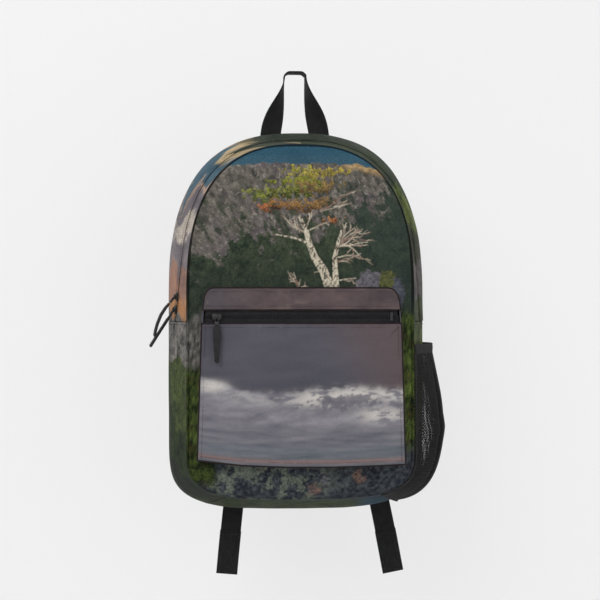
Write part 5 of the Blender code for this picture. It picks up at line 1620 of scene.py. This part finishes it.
def strap(name, line, across, width=WEBBING, thickness=WEBBING_THICKNESS, material=WEBBING_YARN):
    """Webbing along a line, its width along the direction across at each point."""
    line = np.asarray(line, float)
    across = np.broadcast_to(np.asarray(across, float), line.shape)
    outs = np.cross(across, np.gradient(line, axis=0))
    wide, thick = np.broadcast_to(width, len(line)), np.broadcast_to(thickness, len(line))
    section = np.stack([flat_section(w, t) for w, t in zip(wide, thick)])
    return sweep(name, line, outs, section, material)


def through(points, count):
    """A smooth line through a few points."""
    points = np.asarray(points, float)
    stops = np.concatenate([[0], np.cumsum(np.linalg.norm(np.diff(points, axis=0), axis=1))])
    fine = np.linspace(0, stops[-1], count)
    line = np.stack([np.interp(fine, stops, points[:, k]) for k in range(points.shape[1])], -1)
    for _ in range(3):
        line[1:-1] = (line[:-2] + 2 * line[1:-1] + line[2:]) / 4
    return line


inset = float(inset_at(HANDLE_Y))
seam_drop = 1.0 - ((HANDLE_BASE_HALF - WEBBING / 2) / (BAG_HALF_WIDTH - inset)) ** ARCH_POWER
root = ARCH_START + (BAG_HEIGHT - inset - ARCH_START) * seam_drop ** (1.0 / ARCH_POWER) + 0.0008
crown = BAG_HEIGHT + HANDLE_RISE + WEBBING_THICKNESS / 2
share = np.linspace(0, 1, 44)
ease = share * share * (3 - 2 * share)
x = HANDLE_BASE_HALF + (HANDLE_SHOULDER_HALF - HANDLE_BASE_HALF) * ease
climb = np.stack([-x, 0 * x + HANDLE_Y, root + (crown - HANDLE_SHOULDER_DROP - root) * share], -1)
turn = ease * math.pi / 2
wide = np.stack([-np.cos(turn), -np.sin(turn), 0 * turn], -1)
top = through([climb[-1], (-HANDLE_CROWN_HALF - 0.002, HANDLE_Y, crown - 0.0008),
               (-HANDLE_CROWN_HALF, HANDLE_Y, crown),
               (0, HANDLE_Y, crown)], 14)[1:]
line = np.concatenate([climb, top])
wide = np.concatenate([wide, np.tile((0, -1.0, 0), (len(top), 1))])
line = np.concatenate([line, line[-2::-1] * MIRROR])
wide = np.concatenate([wide, wide[-2::-1] * MIRROR])
handle = strap("carry_handle_webbing", line, wide)
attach(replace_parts(handle, "carry_handle"), "handle")
print("handle webbing:", round(1000 * float(np.linalg.norm(np.diff(line, axis=0), axis=1).sum())), "mm")

# %% [markdown]
# Each shoulder strap is an S of padding with webbing stitched down its middle and a ladder lock at its
# end. The webbing from the bag's lower corner comes up through the lock and falls again as a tail with
# a folded, sewn end. In front view only the tails show.

# %% Strap paths
PIPING_OUT = BACK_Y + PIPING_RADIUS
ANCHOR, CLEAR = 0.0015, 0.0004
STRAP_PAD = 0.009
STRAP_WIDTH_TOP, STRAP_WIDTH_END = 0.062, 0.048
STRAP_TOP, STRAP_END, STRAP_BOW = BAG_HEIGHT - 0.026, 0.128, 0.018
LOCK_Z, LOCK_WIDTH, LOCK_HEIGHT, LOCK_THICKNESS, LOCK_BAR = 0.090, 0.034, 0.028, 0.0046, 0.0040
STRAP_LAYOUT = {
    # side: its sign, x at the top, x of the buckle, x of the tail's end
    "left": (-1, -0.046, -0.064, -0.083),
    "right": (1, 0.046, 0.089, 0.125),
}
STRAP_Y = PIPING_OUT + ANCHOR + 2 * CLEAR
FACING_Y = STRAP_Y + STRAP_PAD + CLEAR + WEBBING_THICKNESS / 2
WING_Y = PIPING_OUT + CLEAR + ANCHOR / 2
WING_X, WING_Z = 0.110, 0.042
TAIL_DROP, TAIL_HEM = 0.090, 0.054


def strap_x(word, z):
    _, top, lock, _ = STRAP_LAYOUT[word]
    share = np.clip((STRAP_TOP - z) / (STRAP_TOP - LOCK_Z), None, 1.0)
    bow = math.copysign(STRAP_BOW, top) * np.sin(math.pi * share) ** 2
    return top + (lock - top) * share * share * (3 - 2 * share) + bow


def edge_rows(line, across, half_width, out, inward=0.0016):
    """Stitch lines along both edges of a strap."""
    across = np.broadcast_to(np.asarray(across, float), line.shape)
    across = across / np.linalg.norm(across, axis=1, keepdims=True)
    out = np.asarray(out, float)
    return [(line + across * s * (half_width - inward) + out * (WEBBING_THICKNESS / 2 + 0.0001), out)
            for s in (-1, 1)]


def stitched_box(centre, u, v, half_u, half_v, out):
    """The box with a cross that fastens a strap's end."""
    corner = [centre + u * half_u * a + v * half_v * b for a, b in ((-1, -1), (1, -1), (1, 1), (-1, 1))]
    lines = [(corner[k], corner[(k + 1) % 4]) for k in range(4)]
    lines += [(corner[0], corner[2]), (corner[1], corner[3])]
    return [(np.linspace(a, b, 8), out) for a, b in lines]


BLACK_THREAD = fibre_material("black_thread", (0.030, 0.030, 0.031), 0.5, 0.0006, 0.0001, source=None)
BUCKLE_NYLON = fibre_material("buckle_nylon", (0.014, 0.014, 0.015), 0.36, 0.003, 0.00006, source=None)
for word, (side, top_x, _, tail_x) in STRAP_LAYOUT.items():
    back = np.array((0.0, 1.0, 0.0))
    z = np.linspace(STRAP_TOP - 0.004, LOCK_Z + LOCK_HEIGHT / 2 + 3 * CLEAR, 90)
    line = np.stack([strap_x(word, z), 0 * z + FACING_Y, z], -1)
    facing = strap(f"strap_webbing_{word}", line, (1, 0, 0))
    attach(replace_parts(facing, f"strap_facing_{word}"), f"strap_{word}")
    rows = edge_rows(line[3:-3], (1, 0, 0), WEBBING / 2, back)
    rows += stitched_box(line[6], np.array((1.0, 0, 0)), np.array((0, 0, 1.0)), 0.009, 0.006, back)
    raised = [(r + back * 0.0001, o) for r, o in rows]
    sewn = along_lines(f"strap_stitches_{word}", raised, STITCH_PITCH, THREAD, BLACK_THREAD)
    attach(sewn, f"strap_{word}")

    w, h, bar = LOCK_WIDTH / 2, LOCK_HEIGHT / 2, LOCK_BAR
    inner = w - (LOCK_WIDTH - WEBBING - 0.002) / 2
    t = LOCK_THICKNESS / 2
    bars = [slab([(s * w, -h), (s * w, h), (s * inner, h), (s * inner, -h)][::-s], -t, t) for s in (-1, 1)]
    for low, high, thin in ((-h, -h + bar, 0.8), (-bar * 0.5, bar * 0.5, 0.9), (h - bar, h, 1.0)):
        bars.append(slab([(-inner - 0.0004, low), (inner + 0.0004, low), (inner + 0.0004, high),
                          (-inner - 0.0004, high)], -t * thin, t * thin))
    for k in (-1, 0, 1):
        rib_low, rib_high = k * 0.0011 - 0.0003, k * 0.0011 + 0.0003
        rib = [(-inner, rib_low), (inner, rib_low), (inner, rib_high), (-inner, rib_high)]
        bars.append(slab(rib, t * 0.85, t * 1.02))
    lock = fitting(f"ladder_lock_moulded_{word}", bars, ((-1, 0, 0), (0, 0, 1), (0, 1, 0)),
                   (strap_x(word, LOCK_Z), FACING_Y, LOCK_Z), BUCKLE_NYLON, 0.0007)
    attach(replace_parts(lock, f"ladder_lock_{word}"), f"strap_{word}")

    sewn_y = WING_Y + ANCHOR / 2 + CLEAR + WEBBING_THICKNESS / 2
    lock_y = FACING_Y - LOCK_THICKNESS / 2 - CLEAR - WEBBING_THICKNESS / 2
    start = np.array((side * WING_X, 0, WING_Z))
    end = np.array((strap_x(word, LOCK_Z), 0, LOCK_Z - 0.004))
    share = np.linspace(0, 1, 30)
    line = start + (end - start) * share[:, None]
    line[:, 1] = sewn_y + (lock_y - sewn_y) * smooth_step(share, 0.18, 0.84)
    run = unit(end - start)
    lower = strap(f"lower_webbing_run_{word}", line, (run[2], 0, -run[0]))
    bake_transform(lower)
    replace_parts(lower, f"lower_webbing_{word}")

    corners = [(x * side, z) for x, z in ((0.094, 0.026), (0.124, 0.036), (0.124, 0.064), (0.098, 0.054))]
    wing = fitting(f"corner_wing_sewn_{word}", [slab(corners[::side], -ANCHOR / 2, ANCHOR / 2)],
                   ((1, 0, 0), (0, 0, 1), (0, 1, 0)), (0, WING_Y, 0), SPACER_MESH, 0.0005)
    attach(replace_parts(wing, f"corner_wing_{word}"), "root")
    rows = stitched_box(line[2], run, np.array((run[2], 0, -run[0])), 0.008, 0.0095, back)
    raised = [(r + back * (WEBBING_THICKNESS / 2 + 0.0002), o) for r, o in rows]
    sewn = along_lines(f"corner_stitches_{word}", raised, STITCH_PITCH, THREAD, BLACK_THREAD)
    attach(sewn, "root")

    top = np.array((strap_x(word, LOCK_Z), FACING_Y + LOCK_THICKNESS / 2 + CLEAR + WEBBING_THICKNESS / 2,
                    LOCK_Z - LOCK_HEIGHT / 2 + LOCK_BAR))
    end = np.array((tail_x, top[1], -TAIL_DROP))
    share = np.linspace(0, 1, 160)
    length = np.linalg.norm(end - top)
    line = top + (end - top) * share[:, None]
    line[:, 1] += 0.0016 * np.sin(share * math.pi * 1.6) ** 2
    line[:, 0] += side * 0.0012 * np.sin(share * math.pi)
    doubled = smooth_step(share, 1 - TAIL_HEM / length - 0.003, 1 - TAIL_HEM / length)
    fold = 1 + 0.045 * smooth_step(share, 1 - TAIL_HEM / length - 0.006, 1 - TAIL_HEM / length)
    ends = np.sqrt(1 - np.clip((share - 0.993) / 0.0075, 0, 1) ** 2)
    tail = strap(f"webbing_tail_sewn_{word}", line, (1, 0, 0), WEBBING * fold,
                 WEBBING_THICKNESS * (1 + doubled) * ends)
    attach(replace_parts(tail, f"webbing_tail_{word}"), f"tail_{word}")
    down, sideways_strap = unit(end - top), np.array((1.0, 0, 0))
    middle_of_hem = end - down * TAIL_HEM * 0.5
    rows = []
    for out in (back, -back):
        lifted_out = out * (WEBBING_THICKNESS + 0.0002)
        rows += stitched_box(middle_of_hem + lifted_out, down, sideways_strap, TAIL_HEM * 0.42, 0.0095, out)
    sewn = along_lines(f"tail_stitches_{word}", rows, STITCH_PITCH, THREAD, BLACK_THREAD)
    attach(sewn, f"tail_{word}")
print("two shoulder straps with locks and tails")

# %% [markdown]
# Padded pieces are sewn shells with foam inside, so cloth simulation shapes them: a thin closed shell
# is remeshed into even squares, blown up a little, and held back where it would touch a neighbour.
# The quilting is pressed in afterwards, since a remesh would lose such narrow lines.

# %% Blowing a pad up
def closed_pad(name, ring, low_y, high_y, material):
    """A flat closed shell with a given outline, between two depths."""
    count = len(ring)
    points = [(x, low_y, z) for x, z in ring] + [(x, high_y, z) for x, z in ring]
    faces = [tuple(range(count)), tuple(range(count, 2 * count))[::-1]]
    faces += [(k, count + k, count + (k + 1) % count, (k + 1) % count) for k in range(count)]
    made = piece(name, points, faces, [material], smooth=False)
    outward_faces(made)
    return made


def stuff(made, voxel, pressure, cap, low_y, high_y):
    """Remeshes a closed shell, blows it up by cloth simulation and keeps it between two depths."""
    step = made.modifiers.new("even", "REMESH")
    step.mode, step.voxel_size = "VOXEL", voxel
    settle(made)
    rest = np.zeros(len(made.data.vertices) * 3)
    made.data.vertices.foreach_get("co", rest)
    rest = rest.reshape(-1, 3)
    moved = rest.copy()
    cloth = made.modifiers.new("cloth", "CLOTH")
    cloth.settings.use_pressure = True
    cloth.settings.uniform_pressure_force = pressure
    cloth.settings.effector_weights.gravity = 0
    cloth.settings.quality = 5
    cloth.point_cache.frame_end = 20
    for number in range(1, 21):
        scene.frame_set(number)
    graph = bpy.context.evaluated_depsgraph_get()
    blown = made.evaluated_get(graph).to_mesh()
    flat = np.zeros(len(blown.vertices) * 3)
    blown.vertices.foreach_get("co", flat)
    moved = flat.reshape(-1, 3)
    made.evaluated_get(graph).to_mesh_clear()
    made.modifiers.clear()
    scene.frame_set(1)
    shift = moved - rest
    size = np.linalg.norm(shift, axis=1, keepdims=True)
    moved = rest + shift * np.minimum(1, cap / np.maximum(size, 1e-9))
    moved[:, 1] = np.clip(moved[:, 1], low_y + TO_HANG_POINT[1], high_y + TO_HANG_POINT[1])
    made.data.vertices.foreach_set("co", moved.ravel())
    step = made.modifiers.new("fine", "SUBSURF")
    step.levels = step.render_levels = 1
    settle(made)
    made.data.shade_smooth()
    return made


def press(made, depth_at):
    """Moves each point in y towards the pad's middle by a depth that depends on x and z."""
    co = np.zeros(len(made.data.vertices) * 3)
    made.data.vertices.foreach_get("co", co)
    co = co.reshape(-1, 3)
    local = co - TO_HANG_POINT
    middle = (local[:, 1].min() + local[:, 1].max()) / 2
    depth = depth_at(local[:, 0], local[:, 2])
    co[:, 1] -= np.sign(local[:, 1] - middle) * np.minimum(depth, np.abs(local[:, 1] - middle) * 0.8)
    made.data.vertices.foreach_set("co", co.ravel())
    made.data.update()


def groove(distance, width):
    return np.exp(-(distance / width) ** 2)


# %% The back panel
BACK_PAD = 0.010
BACK_RING = np.linspace(-3, 3, 121)[:-1]
ring = np.stack(outline(BACK_RING, BACK_INSET + 0.0022), -1)
inner_y, outer_y = PIPING_OUT - BACK_PAD, PIPING_OUT
back_pad = closed_pad("back_panel_padded", ring, inner_y + 0.0020, outer_y - 0.0022, SPACER_MESH)
stuff(back_pad, 0.0050, 4.0, 0.006, inner_y + 0.0001, outer_y + 0.0004)


def back_quilting(x, z):
    """A spine channel, two cross channels and a seam a little inside the edge."""
    half, height = outline(np.linspace(0, 3, 120), BACK_INSET + 0.020)
    edge = np.full(x.shape, 1.0)
    for ex, ez in zip(half, height):
        edge = np.minimum(edge, np.hypot(np.abs(x) - ex, z - ez))
    spine = groove(np.abs(x) - 0.0085, 0.0022) * smooth_step(z, 0.05, 0.07)
    spine = spine * (1 - smooth_step(z, 0.36, 0.38))
    cross = groove(z - 0.150 - np.abs(x) * 0.25, 0.0024) + groove(z - 0.275 - np.abs(x) * 0.25, 0.0024)
    cross = cross * smooth_step(np.abs(x), 0.010, 0.014) * (1 - smooth_step(np.abs(x), 0.115, 0.125))
    return 0.0032 * np.clip(groove(edge, 0.0022) + spine + cross, 0, 1)


press(back_pad, back_quilting)
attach(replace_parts(back_pad, "back_panel"), "root")
print("back panel:", len(back_pad.data.polygons), "faces")

# %% Shoulder pads
for word in STRAP_LAYOUT:
    z = np.linspace(STRAP_TOP - 0.003, STRAP_END + 0.003, 40)
    share = (STRAP_TOP - z) / (STRAP_TOP - STRAP_END)
    half = (STRAP_WIDTH_TOP + (STRAP_WIDTH_END - STRAP_WIDTH_TOP) * share) / 2 - 0.0025
    half = half * np.where(share > 0.86, 1 - 0.30 * smooth_step(share, 0.86, 1.0), 1)
    middle = strap_x(word, z)
    ring = np.concatenate([np.stack([middle + half, z], -1), np.stack([middle - half, z], -1)[::-1]])
    pad = closed_pad(f"shoulder_pad_foam_{word}", ring, STRAP_Y + 0.0022,
                     STRAP_Y + STRAP_PAD - 0.0022, SPACER_MESH)
    stuff(pad, 0.0045, 4.0, 0.005, STRAP_Y + 0.0001, STRAP_Y + STRAP_PAD - 0.0001)

    def pad_seams(x, z, word=word):
        share = (STRAP_TOP - z) / (STRAP_TOP - STRAP_END)
        half = (STRAP_WIDTH_TOP + (STRAP_WIDTH_END - STRAP_WIDTH_TOP) * share) / 2 - 0.008
        return 0.0016 * groove(np.abs(x - strap_x(word, z)) - half, 0.0020)

    press(pad, pad_seams)
    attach(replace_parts(pad, f"shoulder_pad_{word}"), f"strap_{word}")
print("shoulder pads:", len(pad.data.polygons), "faces each")

# %% [markdown]
# A patch of webbing cloth joins the straps to the rear seam. It is a flat plate with soft edges and
# one row of stitches. Inside, a lined foam sleeve for a flat computer stands against the back, and a
# stiff board lies in the bottom.

# %% Anchor patch
half = [(0.082, BAG_HEIGHT - 0.058), (0.076, BAG_HEIGHT - 0.038), (0.052, BAG_HEIGHT - 0.022),
        (0.0, BAG_HEIGHT - 0.018)]
corners = half + [(-x, z) for x, z in half[-2::-1]]
patch = fitting("strap_anchor_sewn", [slab(corners[::-1], -ANCHOR / 2, ANCHOR / 2)],
                ((1, 0, 0), (0, 0, 1), (0, 1, 0)), (0, WING_Y, 0), ELASTIC, 0.0006)
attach(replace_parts(patch, "strap_anchor_patch"), "root")
shrunk = [(x * 0.93, BAG_HEIGHT - 0.036 + (z - BAG_HEIGHT + 0.036) * 0.80) for x, z in corners]
line = through([(x, WING_Y + ANCHOR / 2 + 0.0003, z) for x, z in shrunk + shrunk[:1]], 90)
back = np.array((0.0, 1.0, 0.0))
sewn = along_lines("anchor_stitches", [(line, back)], STITCH_PITCH, THREAD, BLACK_THREAD)
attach(sewn, "root")
print("anchor patch sewn on")

# %% Inside: back lining, sleeve and base board
LINING_FOAM = fibre_material("lining_foam", (0.050, 0.052, 0.056), 0.75, 0.0012, 0.0003, source=None)
SLEEVE_Y, SLEEVE_PAD, SLEEVE_TOP = 0.030, 0.005, 0.300
x, z = outline(np.linspace(-3, 3, 601)[:-1], BACK_INSET + 0.0008)
rows = (z.min() + z.max()) / 2 - (z.max() - z.min() - 0.0004) / 2 * np.cos(np.linspace(0, math.pi, 90))
right = x > 0
order = np.argsort(z[right])
half = np.interp(rows, z[right][order], x[right][order])
share = np.linspace(-1, 1, 40)
across = half[:, None] * share
points = np.stack([across, np.full(across.shape, inner_y - 0.0006),
                   np.broadcast_to(rows[:, None], across.shape)], -1)
points[..., 1] -= 0.0003 * (patches(points[..., 0], points[..., 2], 0.03, 401) - 0.5)
back_lining = panel("back_lining_cloth", points, [LINING_CLOTH], wall=0.0005,
                    middle=np.array((0, 0.2, 0.2)))
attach(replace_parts(back_lining, "lining_back"), "root")

low, high = (v - Vector(TO_HANG_POINT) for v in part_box("laptop_sleeve"))
inset = float(inset_at(SLEEVE_Y)) + CLOTH + 0.0015
ring_x, ring_z = outline(np.linspace(-3, 3, 121)[:-1], inset + 0.0015)
ring = np.stack([ring_x, np.clip(ring_z, low[2] + 0.001, SLEEVE_TOP - 0.001)], -1)
keep = [k for k in range(len(ring)) if np.linalg.norm(ring[k] - ring[k - 1]) > 1e-5]
sleeve = closed_pad("laptop_sleeve_padded", ring[keep], SLEEVE_Y + 0.0012,
                    SLEEVE_Y + SLEEVE_PAD - 0.0012, LINING_FOAM)
stuff(sleeve, 0.0050, 3.0, 0.004, SLEEVE_Y + 0.0001, SLEEVE_Y + SLEEVE_PAD - 0.0001)


def sleeve_quilting(x, z):
    a = np.abs((x + z) / 0.045 % 1 - 0.5) * 0.045
    b = np.abs((x - z) / 0.045 % 1 - 0.5) * 0.045
    return 0.0013 * np.clip(groove(a, 0.0016) + groove(b, 0.0016), 0, 1)


press(sleeve, sleeve_quilting)
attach(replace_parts(sleeve, "laptop_sleeve"), "root")
binding_low, binding_high = (np.array(v) - TO_HANG_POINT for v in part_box("sleeve_binding"))
half = float(binding_high[0])
x = np.linspace(-half, half, 80)
edge_y, edge_z = (binding_low[1] + binding_high[1]) / 2, (binding_low[2] + binding_high[2]) / 2
line = np.stack([x, 0 * x + edge_y, 0 * x + edge_z], -1)
binding = sweep("sleeve_edge_binding", line, np.tile((0, 0, 1.0), (80, 1)),
                rounded_box(0.0035, 0.0015, 16), ELASTIC)
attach(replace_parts(binding, "sleeve_binding"), "root")

low, high = (np.array(v) - TO_HANG_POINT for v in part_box("base_board"))
size, centre = (high - low) / 2, (high + low) / 2
corner = rounded_box(size[0], size[1], 48, 12.0)
board = fitting("base_board_cut", [slab(corner.tolist(), -size[2], size[2])],
                ((1, 0, 0), (0, 1, 0), (0, 0, 1)), centre, BOARD_SHEET, 0.0004)
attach(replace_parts(board, "base_board"), "root")
print("sleeve, binding and board inside")
